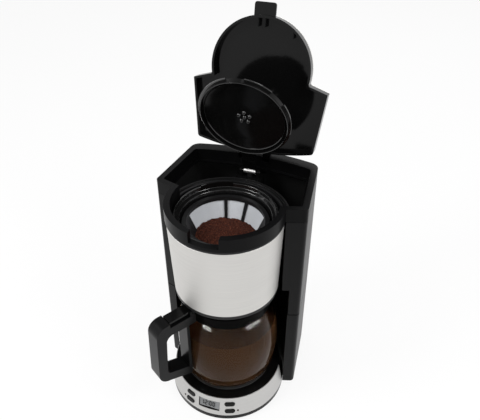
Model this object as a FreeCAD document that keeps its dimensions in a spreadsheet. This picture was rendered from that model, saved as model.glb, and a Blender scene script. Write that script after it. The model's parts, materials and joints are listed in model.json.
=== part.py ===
import FreeCAD, Part
import Sketcher
import math
import os
from types import SimpleNamespace

V = FreeCAD.Vector
Rotation = FreeCAD.Rotation

# Drip coffee maker with an open top, a lift-out filter and a glass jug.
# Frame: origin on the floor under the drum's axis, +Z up, front towards -Y, +X to the viewer's right.

# Driving dimensions in millimetres and degrees
SIZES = {
    # drum with its steel wrap, and the black rim on top
    "drum_radius": 75.0,
    "drum_foot_radius": 71.0,
    "drum_bottom": 198.0,
    "wrap_bottom": 203.0,
    "wrap_drop": 23.0,
    "wrap_sheet": 0.8,
    "wrap_sweep": 196.0,
    "drum_wall": 2.4,
    "rim_radius": 76.4,
    "rim_wall": 8.0,
    "rim_depth": 19.0,
    "rim_drop": 8.5,
    "top_height": 335.0,
    # plan of the housing behind the drum
    "ear_half_width": 102.0,
    "ear_front": 14.0,
    "neck_half_width": 70.0,
    "neck_front": 4.2,
    "back_half_width": 91.0,
    "back_corner": 118.0,
    "back_middle": 130.0,
    "ear_round": 6.0,
    "back_round": 14.0,
    "column_wall": 3.0,
    "seam_height": 151.0,
    "seam_gap": 0.5,
    "bay_gap": 0.4,
    # base with its steel control ring
    "base_radius": 86.0,
    "ring_lean": 6.0,
    "base_top": 42.0,
    "skirt_top": 9.6,
    "base_wall": 2.8,
    "ring_sheet": 1.0,
    "ring_sweep": 188.0,
    "foot_height": 2.0,
    "foot_inset": 26.0,
    "foot_edge": 16.0,
    "cover_plate": 2.0,
    "fit_gap": 0.1,
    # controls on the ring
    "display_width": 32.0,
    "display_tall": 17.0,
    "display_height": 26.0,
    "display_depth": 2.4,
    "button_length": 15.0,
    "button_tall": 7.4,
    "button_gap": 0.3,
    "button_proud": 1.2,
    "button_depth": 4.2,
    "button_angle": 21.5,
    "button_high": 31.3,
    "button_low": 18.3,
    "lamp_radius": 1.5,
    "lamp_angle": 29.5,
    "board_inset": 17.5,
    # warming plate and water heater
    "plate_radius": 59.0,
    "plate_top": 46.0,
    "plate_sheet": 1.5,
    "seal_width": 4.0,
    "heater_radius": 40.0,
    "heater_tube": 6.0,
    "heater_leg": 8.0,
    "nipple_radius": 3.4,
    "nipple_length": 12.0,
    "hose_gap": 0.2,
    "hose_wall": 2.0,
    "hose_low": 30.0,
    "slot_side": 12.0,
    "slot_under": 12.0,
    # water tank and riser
    "tank_wall": 2.0,
    "tank_gap": 0.4,
    "riser_clear": 12.0,
    "outlet_side": 40.0,
    "tower_half_width": 18.0,
    "tower_half_depth": 10.0,
    "tower_drop": 24.0,
    # brew basket, permanent filter and drip valve
    "basket_radius": 66.0,
    "basket_drop": 17.0,
    "basket_wall": 2.5,
    "seat_drop": 26.0,
    "chamber_radius": 12.0,
    "chamber_floor": 214.0,
    "basket_bottom": 207.0,
    "filter_radius": 55.5,
    "filter_seat_drop": 35.5,
    "filter_drop": 30.0,
    "filter_foot_radius": 30.0,
    "filter_foot_rise": 38.0,
    "mesh_sheet": 0.5,
    "rib_sheet": 1.4,
    "stem_radius": 3.0,
    "stem_gap": 0.08,
    "stem_tip": 194.4,
    # lid and water spreader
    "lid_gap": 1.6,
    "lid_depth": 16.0,
    "lid_skin": 3.5,
    "lid_wall": 3.0,
    "lid_roof": 2.0,
    "hinge_ledge": 8.0,
    "hinge_back": 121.0,
    "hinge_drop": 4.0,
    "hinge_pin": 2.0,
    "pin_gap": 0.06,
    "arm_inner": 12.0,
    "arm_outer": 22.0,
    "lid_open": 101.75,
    "tab_half_width": 14.0,
    "tab_reach": 82.0,
    "notch_half_width": 19.0,
    "notch_depth": 14.2,
    "spreader_radius": 58.0,
    "spreader_drop": 14.6,
    "spreader_plate": 2.0,
    "spreader_rim": 7.0,
    "spreader_pin_drop": 16.0,
    "spreader_pin": 1.5,
    "spreader_open": 75.0,
    "spreader_half_arm": 9.5,
    # glass jug with its handle and lid
    "jug_gap": 0.3,
    "jug_foot_radius": 58.0,
    "jug_belly_radius": 73.0,
    "jug_belly": 92.0,
    "jug_neck_radius": 58.0,
    "jug_neck": 169.0,
    "jug_top": 181.0,
    "shoulder_out": 5.8,
    "shoulder_drop": 9.0,
    "crown_out": 3.5,
    "crown_drop": 4.0,
    "glass_wall": 2.5,
    "floor_gap": 0.05,
    "collar_radius": 62.0,
    "collar_top": 186.0,
    "handle_angle": -32.0,
    "handle_width": 22.0,
    "handle_reach": 125.5,
    "handle_top": 189.0,
    "handle_bottom": 82.0,
    "strap_thick": 3.4,
    "arm_deep": 15.0,
    "jug_lid_top": 189.0,
    "jug_hinge_reach": 66.0,
    "jug_hinge_height": 187.9,
    "lever_reach": 100.0,
    "lever_half_width": 8.0,
}

doc = FreeCAD.newDocument("drip_coffee_maker")
sheet = doc.addObject("Spreadsheet::Sheet", "dims")
for row, (alias, value) in enumerate(SIZES.items(), start=1):
    sheet.set("A%d" % row, alias)
    sheet.set("B%d" % row, str(value))
    sheet.setAlias("B%d" % row, alias)
doc.recompute()


class Size:
    """A length with its value and the sheet expression that gives it."""

    def __init__(self, value, text):
        self.value = float(value)
        self.text = text

    def join(self, sign, other, value):
        return Size(value, "(%s %s %s)" % (self.text, sign, as_size(other).text))

    def __add__(self, other):
        return self.join("+", other, self.value + as_size(other).value)

    def __sub__(self, other):
        return self.join("-", other, self.value - as_size(other).value)

    def __mul__(self, other):
        return self.join("*", other, self.value * as_size(other).value)

    def __truediv__(self, other):
        return self.join("/", other, self.value / as_size(other).value)

    def __neg__(self):
        return Size(-self.value, "(0 - %s)" % self.text)


def as_size(number):
    """Takes a Size as it is and wraps a plain number as a fixed one."""
    if isinstance(number, Size):
        return number
    return Size(number, "(%r)" % float(number))


d = SimpleNamespace(**{alias: Size(sheet.get(alias), "dims." + alias) for alias in SIZES})

# Heights that hang from the top, and radii that keep to the edge of the base
d.wrap_top = d.top_height - d.wrap_drop
d.rim_bottom = d.top_height - d.rim_depth
d.tower_top = d.top_height - d.tower_drop
d.basket_top = d.top_height - d.basket_drop
d.basket_seat = d.top_height - d.seat_drop
d.filter_seat = d.top_height - d.filter_seat_drop
d.filter_top = d.top_height - d.filter_drop
d.filter_foot = d.chamber_floor + d.filter_foot_rise
d.lid_bottom = d.top_height - d.lid_depth
d.hinge_height = d.top_height - d.hinge_drop
d.notch_floor = d.top_height - d.notch_depth
d.spreader_top = d.top_height - d.spreader_drop
d.spreader_height = d.top_height - d.spreader_pin_drop
d.base_top_radius = d.base_radius - d.ring_lean
d.riser_back = d.base_radius + d.riser_clear
d.foot_ring_inner = d.base_radius - d.foot_inset
d.foot_ring_outer = d.base_radius - d.foot_edge
d.board_front = d.base_radius - d.board_inset


def bind(obj, prop, size):
    """Ties a property to its sheet expression."""
    obj.setExpression(prop, as_size(size).text)


def at(obj, x=0.0, y=0.0, z=0.0):
    """Ties an object's position to sheet expressions."""
    for axis, size in (("x", x), ("y", y), ("z", z)):
        bind(obj, "Placement.Base." + axis, size)
    return obj


TURNS = {"x": Rotation(V(0, 1, 0), 90), "y": Rotation(V(1, 0, 0), -90), "z": Rotation()}


def settle(obj, spot, turn, frame):
    """Places an object in the main frame, or in a leaning frame of its own."""
    if frame is None:
        obj.Placement.Rotation = turn
        return at(obj, *spot)
    local = FreeCAD.Placement(V(*[as_size(c).value for c in spot]), turn)
    obj.Placement = frame.multiply(local)
    return obj


def cylinder(name, radius, height, x=0.0, y=0.0, z=0.0, axis="z", frame=None):
    """A cylinder that starts at x, y, z and runs along the named axis."""
    obj = doc.addObject("Part::Cylinder", name)
    bind(obj, "Radius", radius)
    bind(obj, "Height", height)
    return settle(obj, (x, y, z), TURNS[axis], frame)


def box(name, low, high, frame=None):
    """A box between two corners."""
    obj = doc.addObject("Part::Box", name)
    sides = [as_size(b) - as_size(a) for a, b in zip(low, high)]
    for prop, side in zip(("Length", "Width", "Height"), sides):
        bind(obj, prop, side)
    return settle(obj, low, Rotation(), frame)


def fuse(name, *shapes):
    obj = doc.addObject("Part::MultiFuse", name)
    obj.Shapes = list(shapes)
    return obj


def cut(name, base, *tools):
    obj = doc.addObject("Part::Cut", name)
    obj.Base = base
    obj.Tool = tools[0] if len(tools) == 1 else fuse(name + "_tools", *tools)
    return obj


def draw(sketch, points):
    """Draws a closed profile; a point (x, y, mx, my) is reached by an arc through (mx, my)."""
    corners = [(as_size(p[0]), as_size(p[1])) for p in points]
    places = [V(x.value, y.value, 0) for x, y in corners]
    starts = []
    for i, point in enumerate(points):
        if len(point) == 4:
            middle = V(as_size(point[2]).value, as_size(point[3]).value, 0)
            curve = Part.Arc(places[i - 1], middle, places[i])
        else:
            curve = Part.LineSegment(places[i - 1], places[i])
        sketch.addGeometry(curve)
        first = sketch.getPoint(i, 1)
        starts.append(1 if (first - places[i - 1]).Length < 1e-6 else 2)
    for i, (x, y) in enumerate(corners):
        after = (i + 1) % len(points)
        end = 3 - starts[i]
        sketch.addConstraint(Sketcher.Constraint("Coincident", i, end, after, starts[after]))
        for kind, size in (("DistanceX", x), ("DistanceY", y)):
            index = sketch.addConstraint(Sketcher.Constraint(kind, -1, 1, i, end, size.value))
            if "dims" in size.text:
                sketch.setExpression("Constraints[%d]" % index, size.text)
        if len(points[i]) == 4:
            sketch.addConstraint(Sketcher.Constraint("Radius", i, sketch.Geometry[i].Radius))


def profile_body(name, plane, points):
    """A body with one closed profile on one of its own origin planes."""
    body = doc.addObject("PartDesign::Body", name)
    sketch = body.newObject("Sketcher::SketchObject", name + "_profile")
    support = [f for f in body.Origin.OriginFeatures if f.Role == plane][0]
    sketch.AttachmentSupport = [(support, "")]
    sketch.MapMode = "FlatFace"
    draw(sketch, points)
    return body, sketch


def revolve(name, points, sweep=None, facing=0.0):
    """Turns a profile (radius, height) about the drum's axis; facing is counted from the front."""
    body, sketch = profile_body(name, "XZ_Plane", points)
    turn = body.newObject("PartDesign::Revolution", name + "_turn")
    turn.Profile = sketch
    turn.ReferenceAxis = (sketch, ["V_Axis"])
    turn.Angle = 360.0
    if sweep is not None:
        turn.Midplane = True
        bind(turn, "Angle", sweep)
        body.Placement.Rotation = Rotation(V(0, 0, 1), as_size(facing).value - 90.0)
    return body


def plate(name, points, width, facing=0.0):
    """A profile (reach, height) in an upright plane through the axis, given a width both ways."""
    body, sketch = profile_body(name, "XZ_Plane", points)
    pad = body.newObject("PartDesign::Pad", name + "_pad")
    pad.Profile = sketch
    pad.Midplane = True
    bind(pad, "Length", width)
    body.Placement.Rotation = Rotation(V(0, 0, 1), as_size(facing).value - 90.0)
    return body


def housing_outline(name, ledge):
    """Plan of the housing: swept ears, tapered sides and a bowed back; ledge moves the back inwards."""
    sketch = doc.addObject("Sketcher::SketchObject", name)
    corner = d.back_corner - ledge
    draw(sketch, [
        (-d.neck_half_width, d.neck_front),
        (d.neck_half_width, d.neck_front),
        (d.ear_half_width, d.ear_front),
        (d.back_half_width, corner),
        (-d.back_half_width, corner, 0.0, d.back_middle - ledge),
        (-d.ear_half_width, d.ear_front),
    ])
    return sketch


def prism(name, outline, inset, bottom, top):
    """The outline moved inwards, raised between two heights, with its upright corners rounded."""
    flat = outline
    if inset is not None:
        flat = doc.addObject("Part::Offset2D", name + "_inset")
        flat.Source = outline
        flat.Join = "Intersection"
        bind(flat, "Value", -as_size(inset))
    raised = doc.addObject("Part::Extrusion", name + "_raised")
    raised.Base = flat
    raised.DirMode = "Custom"
    raised.Dir = V(0, 0, 1)
    raised.Solid = True
    bind(raised, "LengthFwd", as_size(top) - bottom)
    at(raised, z=bottom)
    doc.recompute()
    taken = 0.0 if inset is None else as_size(inset).value
    edges = []
    for number, edge in enumerate(raised.Shape.Edges, start=1):
        a, b = (v.Point for v in edge.Vertexes)
        if abs(a.z - b.z) < 1.0 or abs(a.x) < d.neck_half_width.value + 1.0:
            continue
        round_ = d.ear_round if a.y < d.back_corner.value / 2 else d.back_round
        radius = max(round_.value - taken, 1.5)
        edges.append((number, radius, radius))
    rounded = doc.addObject("Part::Fillet", name)
    rounded.Base = raised
    rounded.Edges = edges
    return rounded


def slope_tool(name, lowered):
    """Everything above the top plane that falls from the ears to the front of the rim."""
    tool = doc.addObject("Part::Box", name)
    reach = 300.0
    tool.Length = 2 * reach
    tool.Width = reach
    tool.Height = 60.0
    fall = math.degrees(math.atan2(d.rim_drop.value, d.neck_front.value + d.rim_radius.value))
    tool.Placement.Rotation = Rotation(V(1, 0, 0), fall)
    return at(tool, -reach, d.neck_front, d.top_height - lowered)


def pipe(name, runs, radius, bore):
    """A tube along straight and curved runs; each run is a list of points."""
    edges = []
    for k, run in enumerate(runs):
        if len(run) == 2:
            edges.append(Part.LineSegment(run[0], run[1]).toShape())
            continue
        curve = Part.BSplineCurve()
        first = runs[k - 1][1] - runs[k - 1][0]
        last = runs[k + 1][1] - runs[k + 1][0]
        curve.interpolate(Points=run, InitialTangent=first.normalize(), FinalTangent=last.normalize())
        edges.append(curve.toShape())
    path = Part.Wire(edges)
    ahead = runs[0][1] - runs[0][0]
    solids = []
    for r in (radius, bore):
        ring = Part.Wire(Part.makeCircle(r, runs[0][0], ahead))
        solids.append(path.makePipeShell([ring], True, False))
    obj = doc.addObject("Part::Feature", name)
    obj.Shape = solids[0].cut(solids[1])
    obj.Placement = FreeCAD.Placement()
    return obj


NODES = []


def keep(obj, label):
    """Marks an object as a sub-part and names it."""
    obj.Label = label
    NODES.append(obj)
    return obj


# Base: shell, steel ring, bottom cover, feet
def ring_radius(height):
    """Outer radius of the leaning steel ring at a height."""
    rise = (height - d.skirt_top) / (d.base_top - d.skirt_top)
    return d.base_radius - (d.base_radius - d.base_top_radius) * rise


LEAN = math.degrees(math.atan2(
    d.base_radius.value - d.base_top_radius.value, d.base_top.value - d.skirt_top.value))


def ring_frame(angle, height):
    """Frame on the ring's face: x along the ring, y into the base, z up the slope."""
    radius = ring_radius(as_size(height)).value
    turn = math.radians(angle)
    spot = V(radius * math.sin(turn), -radius * math.cos(turn), as_size(height).value)
    return FreeCAD.Placement(spot, Rotation(V(0, 0, 1), angle).multiply(Rotation(V(1, 0, 0), -LEAN)))


def pill(name, length, tall, front, back, frame):
    """A round-ended block that runs from front to back into the ring's face."""
    half = (length - tall) / 2
    deep = as_size(back) - front
    middle = box(name + "_middle", (-half, front, -tall / 2), (half, back, tall / 2), frame)
    left = cylinder(name + "_left", tall / 2, deep, -half, front, 0.0, "y", frame)
    right = cylinder(name + "_right", tall / 2, deep, half, front, 0.0, "y", frame)
    return fuse(name, middle, left, right)


BUTTONS = {
    "button_upper_left": (-d.button_angle.value, d.button_high),
    "button_lower_left": (-d.button_angle.value, d.button_low),
    "button_upper_right": (d.button_angle.value, d.button_high),
    "button_lower_right": (d.button_angle.value, d.button_low),
}
LAMPS = {"left": -d.lamp_angle.value, "right": d.lamp_angle.value}

# Openings in the ring for the display, the buttons and the lamps
front_frame = ring_frame(0.0, d.display_height)
wide = d.display_width / 2
high = d.display_tall / 2
window_hole = box("window_hole", (-wide - d.fit_gap, -4.0, -high - d.fit_gap),
                  (wide + d.fit_gap, 9.0, high + d.fit_gap), front_frame)
openings = [window_hole]
for label, (angle, height) in BUTTONS.items():
    openings.append(pill(label + "_hole", d.button_length + d.button_gap * 2,
                         d.button_tall + d.button_gap * 2, -4.0, 9.0, ring_frame(angle, height)))
for side, angle in LAMPS.items():
    openings.append(cylinder("lamp_hole_" + side, d.lamp_radius + d.fit_gap, 13.0, 0.0, -4.0, 0.0, "y",
                             ring_frame(angle, d.button_low)))

# Base shell under the ring, open below, with bosses for the cover's screws and a slot for the hoses
deck_hole = d.plate_radius + d.seal_width
under = d.ring_sheet + d.fit_gap
wall = under + d.base_wall
deck_bottom = d.base_top - d.base_wall
shell_body = revolve("base_shell_body", [
    (d.base_radius, d.foot_height),
    (d.base_radius, d.skirt_top),
    (d.base_radius - under, d.skirt_top),
    (d.base_top_radius - under, d.base_top),
    (deck_hole, d.base_top),
    (deck_hole, deck_bottom),
    (ring_radius(deck_bottom) - wall, deck_bottom),
    (d.base_radius - wall, d.foot_height),
])
BOSS_ANGLES = (45.0, 135.0, 225.0, 315.0)
boss_circle = d.base_radius - wall - 4.6
cover_top = d.foot_height + d.cover_plate
bosses = []
boss_holes = []
cover_holes = []
screws = []
for n, angle in enumerate(BOSS_ANGLES):
    spot = (boss_circle * math.sin(math.radians(angle)), -boss_circle * math.cos(math.radians(angle)))
    bosses.append(cylinder("boss_%d" % n, 4.0, 10.0, spot[0], spot[1], cover_top + d.fit_gap))
    boss_holes.append(cylinder("boss_hole_%d" % n, 1.65, 7.0, spot[0], spot[1], cover_top))
    cover_holes.append(cylinder("cover_hole_%d" % n, 1.75, d.cover_plate, spot[0], spot[1], d.foot_height))
    cover_holes.append(cylinder("cover_sink_%d" % n, 3.5, 1.4, spot[0], spot[1], d.foot_height))
    head = cylinder("screw_head_%d" % n, 3.3, 1.3, spot[0], spot[1], d.foot_height + 0.1)
    shank = cylinder("screw_shank_%d" % n, 1.55, 7.0, spot[0], spot[1], d.foot_height + 1.0)
    screws += [head, shank]
slot_half = d.heater_radius + d.slot_side
slot_low = d.hose_low - d.slot_under
hose_slot = box("hose_slot", (-slot_half, d.plate_radius - 3.0, slot_low),
                (slot_half, d.base_radius + 10.0, deck_bottom - 0.4))
keep(cut("base_shell", fuse("base_shell_bossed", shell_body, *bosses), *boss_holes, *openings, hose_slot),
     "base_shell")
vents = []
for n in range(7):
    x = (n - 3) * 9.0
    vents.append(box("vent_%d" % n, (x - 1.5, -30.0, d.foot_height), (x + 1.5, 30.0, cover_top)))
cover_disc = cylinder("cover_disc", d.base_radius - wall - 0.7, d.cover_plate, z=d.foot_height)
keep(cut("base_cover", cover_disc, *cover_holes, *vents), "base_cover")
keep(fuse("cover_screws", *screws), "cover_screws")
foot_outer = cylinder("foot_outer", d.foot_ring_outer, d.foot_height)
foot_inner = cylinder("foot_inner", d.foot_ring_inner, d.foot_height)
keep(cut("foot_ring", foot_outer, foot_inner), "foot_ring")
keep(fuse("rear_feet", cylinder("foot_left", 8.0, d.foot_height, -70.0, 98.0),
          cylinder("foot_right", 8.0, d.foot_height, 70.0, 98.0)), "rear_feet")
ring_body = revolve("ring_body", [
    (d.base_radius, d.skirt_top + d.fit_gap),
    (d.base_top_radius, d.base_top),
    (d.base_top_radius - d.ring_sheet, d.base_top),
    (d.base_radius - d.ring_sheet, d.skirt_top + d.fit_gap),
], d.ring_sweep)
keep(cut("control_ring", ring_body, *openings), "control_ring")

# Display, lamps, buttons and the board behind them
keep(box("display_window", (-wide, d.display_depth, -high), (wide, d.display_depth + 1.5, high), front_frame),
     "display_window")
cell = box("display_cell", (-wide, d.display_depth + 1.6, -high), (wide, 7.6, high), front_frame)
holder = box("display_holder", (-wide - 2.0, 7.5, -high - 1.5), (wide + 2.0, 10.4, high + 1.5), front_frame)
keep(fuse("display_module", cell, holder), "display_module")
lamps = [cylinder("lamp_" + side, d.lamp_radius, 5.0, 0.0, -0.4, 0.0, "y", ring_frame(angle, d.button_low))
         for side, angle in LAMPS.items()]
keep(fuse("indicator_lamps", *lamps), "indicator_lamps")
for label, (angle, height) in BUTTONS.items():
    keep(pill(label, d.button_length, d.button_tall, -d.button_proud, d.button_depth,
              ring_frame(angle, height)), label)
keep(box("control_board", (-30.5, -d.board_front, 10.0), (30.5, -d.board_front + 1.6, 35.0)), "control_board")
switches = []
for n, (x, z) in enumerate(((-25.5, 30.2), (-25.5, 17.2), (25.5, 30.2), (25.5, 17.2))):
    switches.append(box("switch_%d" % n, (x - 2.5, -d.board_front - 1.0, z - 2.5),
                        (x + 2.5, -d.board_front, z + 2.5)))
keep(fuse("push_switches", *switches), "push_switches")

# Warming plate, its seal, the heater under it and the hoses
plate_under = d.plate_top - d.plate_sheet
keep(revolve("warming_plate", [
    (0.0, plate_under),
    (d.plate_radius - d.plate_sheet, plate_under),
    (d.plate_radius - d.plate_sheet, d.base_top - 2.0),
    (d.plate_radius, d.base_top - 2.0),
    (d.plate_radius, d.plate_top),
    (0.0, d.plate_top),
]), "warming_plate")
keep(revolve("plate_seal", [
    (d.plate_radius + d.fit_gap, d.base_top - 2.0),
    (deck_hole - d.fit_gap, d.base_top - 2.0),
    (deck_hole - d.fit_gap, d.base_top + 0.05),
    (deck_hole + 1.6, d.base_top + 0.05),
    (deck_hole + 1.6, d.base_top + 1.2),
    (d.plate_radius + d.fit_gap, d.base_top + 2.0),
]), "plate_seal")
heater_z = plate_under - d.heater_tube - 0.05
bend = doc.addObject("Part::Torus", "heater_bend")
bind(bend, "Radius1", d.heater_radius)
bind(bend, "Radius2", d.heater_tube)
bend.Angle3 = 180.0
bend.Placement.Rotation = Rotation(V(0, 0, 1), 180.0)
at(bend, z=heater_z)
heater_parts = [bend]
for side, sign in (("left", -1.0), ("right", 1.0)):
    x = d.heater_radius * sign
    heater_parts.append(cylinder("heater_leg_" + side, d.heater_tube, d.heater_leg, x, 0.0, heater_z, "y"))
    heater_parts.append(cylinder("heater_nipple_" + side, d.nipple_radius, d.heater_leg + d.nipple_length,
                                 x, 0.0, heater_z, "y"))
keep(fuse("heater", *heater_parts), "heater")
keep(cylinder("thermostat", 9.0, 10.0, z=plate_under - 10.05), "thermostat")
keep(cylinder("thermal_fuse", 2.0, 14.0, -7.0, -22.0, plate_under - 2.05, "x"), "thermal_fuse")

bore = d.nipple_radius.value + d.hose_gap.value
outside = bore + d.hose_wall.value
leg_end = d.heater_leg.value + 1.0
nipple_end = d.heater_leg.value + d.nipple_length.value
hot_x = d.heater_radius.value
high_z = heater_z.value
low_z = d.hose_low.value
back_y = d.riser_back.value
valve_bottom = d.drum_bottom - 24.0
outlet_x = -d.outlet_side.value
inlet_runs = [
    [V(-hot_x, leg_end, high_z), V(-hot_x, nipple_end, high_z)],
    [V(-hot_x, nipple_end, high_z), V(-hot_x, 48.0, low_z), V(-hot_x, 76.0, low_z + 1.0),
     V(outlet_x, back_y, 58.0), V(outlet_x, back_y, 70.0)],
    [V(outlet_x, back_y, 70.0), V(outlet_x, back_y, valve_bottom.value - 0.3)],
]
keep(pipe("inlet_hose", inlet_runs, outside, bore), "inlet_hose")
riser_start = d.seam_height - 11.0
riser_runs = [
    [V(hot_x, leg_end, high_z), V(hot_x, nipple_end, high_z)],
    [V(hot_x, nipple_end, high_z), V(hot_x, 46.0, low_z), V(24.0, 84.0, low_z), V(4.0, back_y, 42.0),
     V(0.0, back_y, 62.0)],
    [V(0.0, back_y, 62.0), V(0.0, back_y, d.seam_height.value)],
]
keep(pipe("riser_hose", riser_runs, outside, bore), "riser_hose")

# Housing: lower and upper column around the jug's bay, with the water tank inside the upper one
bay_radius = d.base_radius + d.bay_gap
plan = housing_outline("housing_plan", 0.0)
lid_plan = housing_outline("lid_plan", d.hinge_ledge)
lower_top = d.seam_height - d.seam_gap
lower_block = prism("lower_block", plan, None, d.foot_height, lower_top)
lower_room = prism("lower_room", plan, d.column_wall, d.foot_height + d.column_wall, lower_top)
lower_void = cut("lower_void", lower_room, cylinder("lower_core", bay_radius + d.column_wall, lower_top))
bay_low = cylinder("bay_low", bay_radius, lower_top)
gland_z = 24.0
gland_hole = cylinder("gland_hole", 7.2, 20.0, 0.0, d.back_middle - 12.0, gland_z, "y")
bay_slot = box("bay_slot", (-slot_half, d.plate_radius - 3.0, slot_low),
               (slot_half, d.riser_back - 6.0, deck_bottom - 0.4))
keep(cut("column_lower", lower_block, lower_void, bay_low, gland_hole, bay_slot), "column_lower")
drum_gap = d.rim_radius + 0.2
shelf = d.drum_bottom + d.column_wall
upper_block = prism("upper_block", plan, None, d.seam_height, d.rim_bottom)
upper_room = prism("upper_room", plan, d.column_wall, d.seam_height, d.rim_bottom)
upper_void = cut("upper_void", upper_room,
                 cylinder("upper_core_low", bay_radius + d.column_wall, shelf),
                 cylinder("upper_core_high", drum_gap + d.column_wall, d.rim_bottom))
bay_high = cylinder("bay_high", bay_radius, d.drum_bottom)
drum_space = cylinder("drum_space", drum_gap, d.rim_bottom)
keep(cut("column_upper", upper_block, upper_void, bay_high, drum_space), "column_upper")

tank_inset = d.column_wall + d.tank_gap
tank_core = drum_gap + d.column_wall + d.tank_gap
tank_bottom = shelf + d.tank_gap
tank_floor = tank_bottom + d.tank_wall
tank_top = d.rim_bottom - d.tank_gap
tank_outer = cut("tank_outer", prism("tank_block", plan, tank_inset, tank_bottom, tank_top),
                 cylinder("tank_core_outer", tank_core, tank_top))
tank_inner = cut("tank_inner", prism("tank_room", plan, tank_inset + d.tank_wall, tank_floor, tank_top),
                 cylinder("tank_core_inner", tank_core + d.tank_wall, tank_top))
outlet_tube = cylinder("outlet_tube", 4.0, 12.0, -d.outlet_side, d.riser_back, tank_bottom - 11.0)
outlet_bore = cylinder("outlet_bore", 2.6, 20.0, -d.outlet_side, d.riser_back, tank_bottom - 12.0)
riser_hole = cylinder("riser_hole", d.nipple_radius + 0.4, 20.0, 0.0, d.riser_back, tank_bottom - 8.0)
keep(cut("water_tank", fuse("tank_with_outlet", cut("tank_shell", tank_outer, tank_inner), outlet_tube),
         outlet_bore, riser_hole), "water_tank")
check_top = tank_bottom - 11.1
check_body = cylinder("check_body", 7.0, check_top - valve_bottom, -d.outlet_side, d.riser_back, valve_bottom)
check_nipple = cylinder("check_nipple", d.nipple_radius, 11.0, -d.outlet_side, d.riser_back,
                        valve_bottom - 10.0)
check_bore = cylinder("check_bore", 2.4, 60.0, -d.outlet_side, d.riser_back, valve_bottom - 20.0)
keep(cut("check_valve", fuse("check_solid", check_body, check_nipple), check_bore), "check_valve")
pipe_top = d.tower_top + 4.0
pipe_length = pipe_top - riser_start
riser_outer = cylinder("riser_outer", d.nipple_radius, pipe_length, 0.0, d.riser_back, riser_start)
riser_inner = cylinder("riser_inner", d.nipple_radius - 1.0, pipe_length, 0.0, d.riser_back, riser_start)
keep(cut("riser_pipe", riser_outer, riser_inner), "riser_pipe")

# Tower in the tank that carries the riser and the spreader's hinge
tower_front = d.riser_back - d.tower_half_depth
tower_back = d.riser_back + d.tower_half_depth
tower_block = box("tower_block", (-d.tower_half_width, tower_front, tank_floor + 0.05),
                  (d.tower_half_width, tower_back, d.tower_top))
lug_low = d.spreader_half_arm + 0.4
lug_high = lug_low + 4.0
lug_radius = d.spreader_pin + 2.5
lugs = []
for side, x in (("left", -lug_high), ("right", lug_low)):
    lugs.append(box("lug_%s_post" % side, (x, d.riser_back - lug_radius, d.tower_top - 1.0),
                    (x + 4.0, d.riser_back + lug_radius, d.spreader_height)))
    lugs.append(cylinder("lug_%s_eye" % side, lug_radius, 4.0, x, d.riser_back, d.spreader_height, "x"))
tower_bore = cylinder("tower_bore", d.nipple_radius + 0.4, 200.0, 0.0, d.riser_back, d.drum_bottom)
lug_bore = cylinder("lug_bore", d.spreader_pin + 0.02, 60.0, -30.0, d.riser_back, d.spreader_height, "x")
keep(cut("riser_tower", fuse("tower_solid", tower_block, *lugs), tower_bore, lug_bore), "riser_tower")
keep(cylinder("spreader_pin", d.spreader_pin, lug_high * 2, -lug_high, d.riser_back, d.spreader_height, "x"),
     "spreader_pin")

# Drum: black shell with the steel wrap in front
wrap_under = d.wrap_sheet + d.fit_gap
seat = d.basket_seat - 0.2
ledge_inner = d.basket_radius - 3.0
keep(revolve("drum_shell", [
    (d.drum_foot_radius, d.drum_bottom),
    (d.drum_foot_radius, d.wrap_bottom),
    (d.drum_foot_radius - wrap_under, d.wrap_bottom),
    (d.drum_radius - wrap_under, d.wrap_top),
    (d.drum_radius, d.wrap_top),
    (d.drum_radius, d.rim_bottom),
    (d.drum_radius - wrap_under - d.drum_wall, d.rim_bottom),
    (d.drum_radius - wrap_under - d.drum_wall, seat),
    (ledge_inner, seat),
    (ledge_inner, seat - 3.0),
    (d.drum_radius - wrap_under - d.drum_wall - 0.4, seat - 5.5),
    (d.drum_foot_radius - wrap_under - d.drum_wall, d.drum_bottom + d.drum_wall),
    (d.chamber_radius * 2, d.drum_bottom + d.drum_wall),
    (d.chamber_radius * 2, d.drum_bottom),
]), "drum_shell")
keep(revolve("drum_wrap", [
    (d.drum_foot_radius, d.wrap_bottom + d.fit_gap),
    (d.drum_radius, d.wrap_top - d.fit_gap),
    (d.drum_radius - d.wrap_sheet, d.wrap_top - d.fit_gap),
    (d.drum_foot_radius - d.wrap_sheet, d.wrap_bottom + d.fit_gap),
], d.wrap_sweep), "drum_wrap")

# Top frame with the sloping rim, the tab's notch and the lid's hinge slots
rim_low = d.rim_bottom + 0.1
frame_block = fuse("frame_block", prism("frame_plan", plan, None, rim_low, d.top_height),
                   cylinder("frame_drum", d.rim_radius, d.top_height - rim_low, z=rim_low))
lid_side = d.rim_wall + d.lid_gap
opening_high = prism("opening_high", lid_plan, d.rim_wall, d.lid_bottom - 1.0, d.top_height + 1.0)
opening_low = prism("opening_low", lid_plan, d.rim_wall + 4.0, rim_low - 1.0, d.top_height)
opening_drum = cylinder("opening_drum", d.rim_radius - d.rim_wall, 40.0, z=rim_low - 1.0)
notch = box("notch", (-d.notch_half_width, -d.rim_radius - 5.0, d.notch_floor),
            (d.notch_half_width, -d.rim_radius / 2, d.top_height))
arm_radius = d.hinge_pin + 1.9
slots = []
for side, x in (("left", -d.arm_outer - 0.5), ("right", d.arm_inner - 0.5)):
    slots.append(box("slot_" + side, (x, d.hinge_back - 20.0, d.hinge_height - arm_radius - 0.6),
                     (x + d.arm_outer - d.arm_inner + 1.0, d.hinge_back + arm_radius + 0.6,
                      d.top_height + 1.0)))
pin_half = d.arm_outer + 7.0
frame_bore = cylinder("frame_bore", d.hinge_pin + 0.02, pin_half * 2, -pin_half, d.hinge_back,
                      d.hinge_height, "x")
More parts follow.
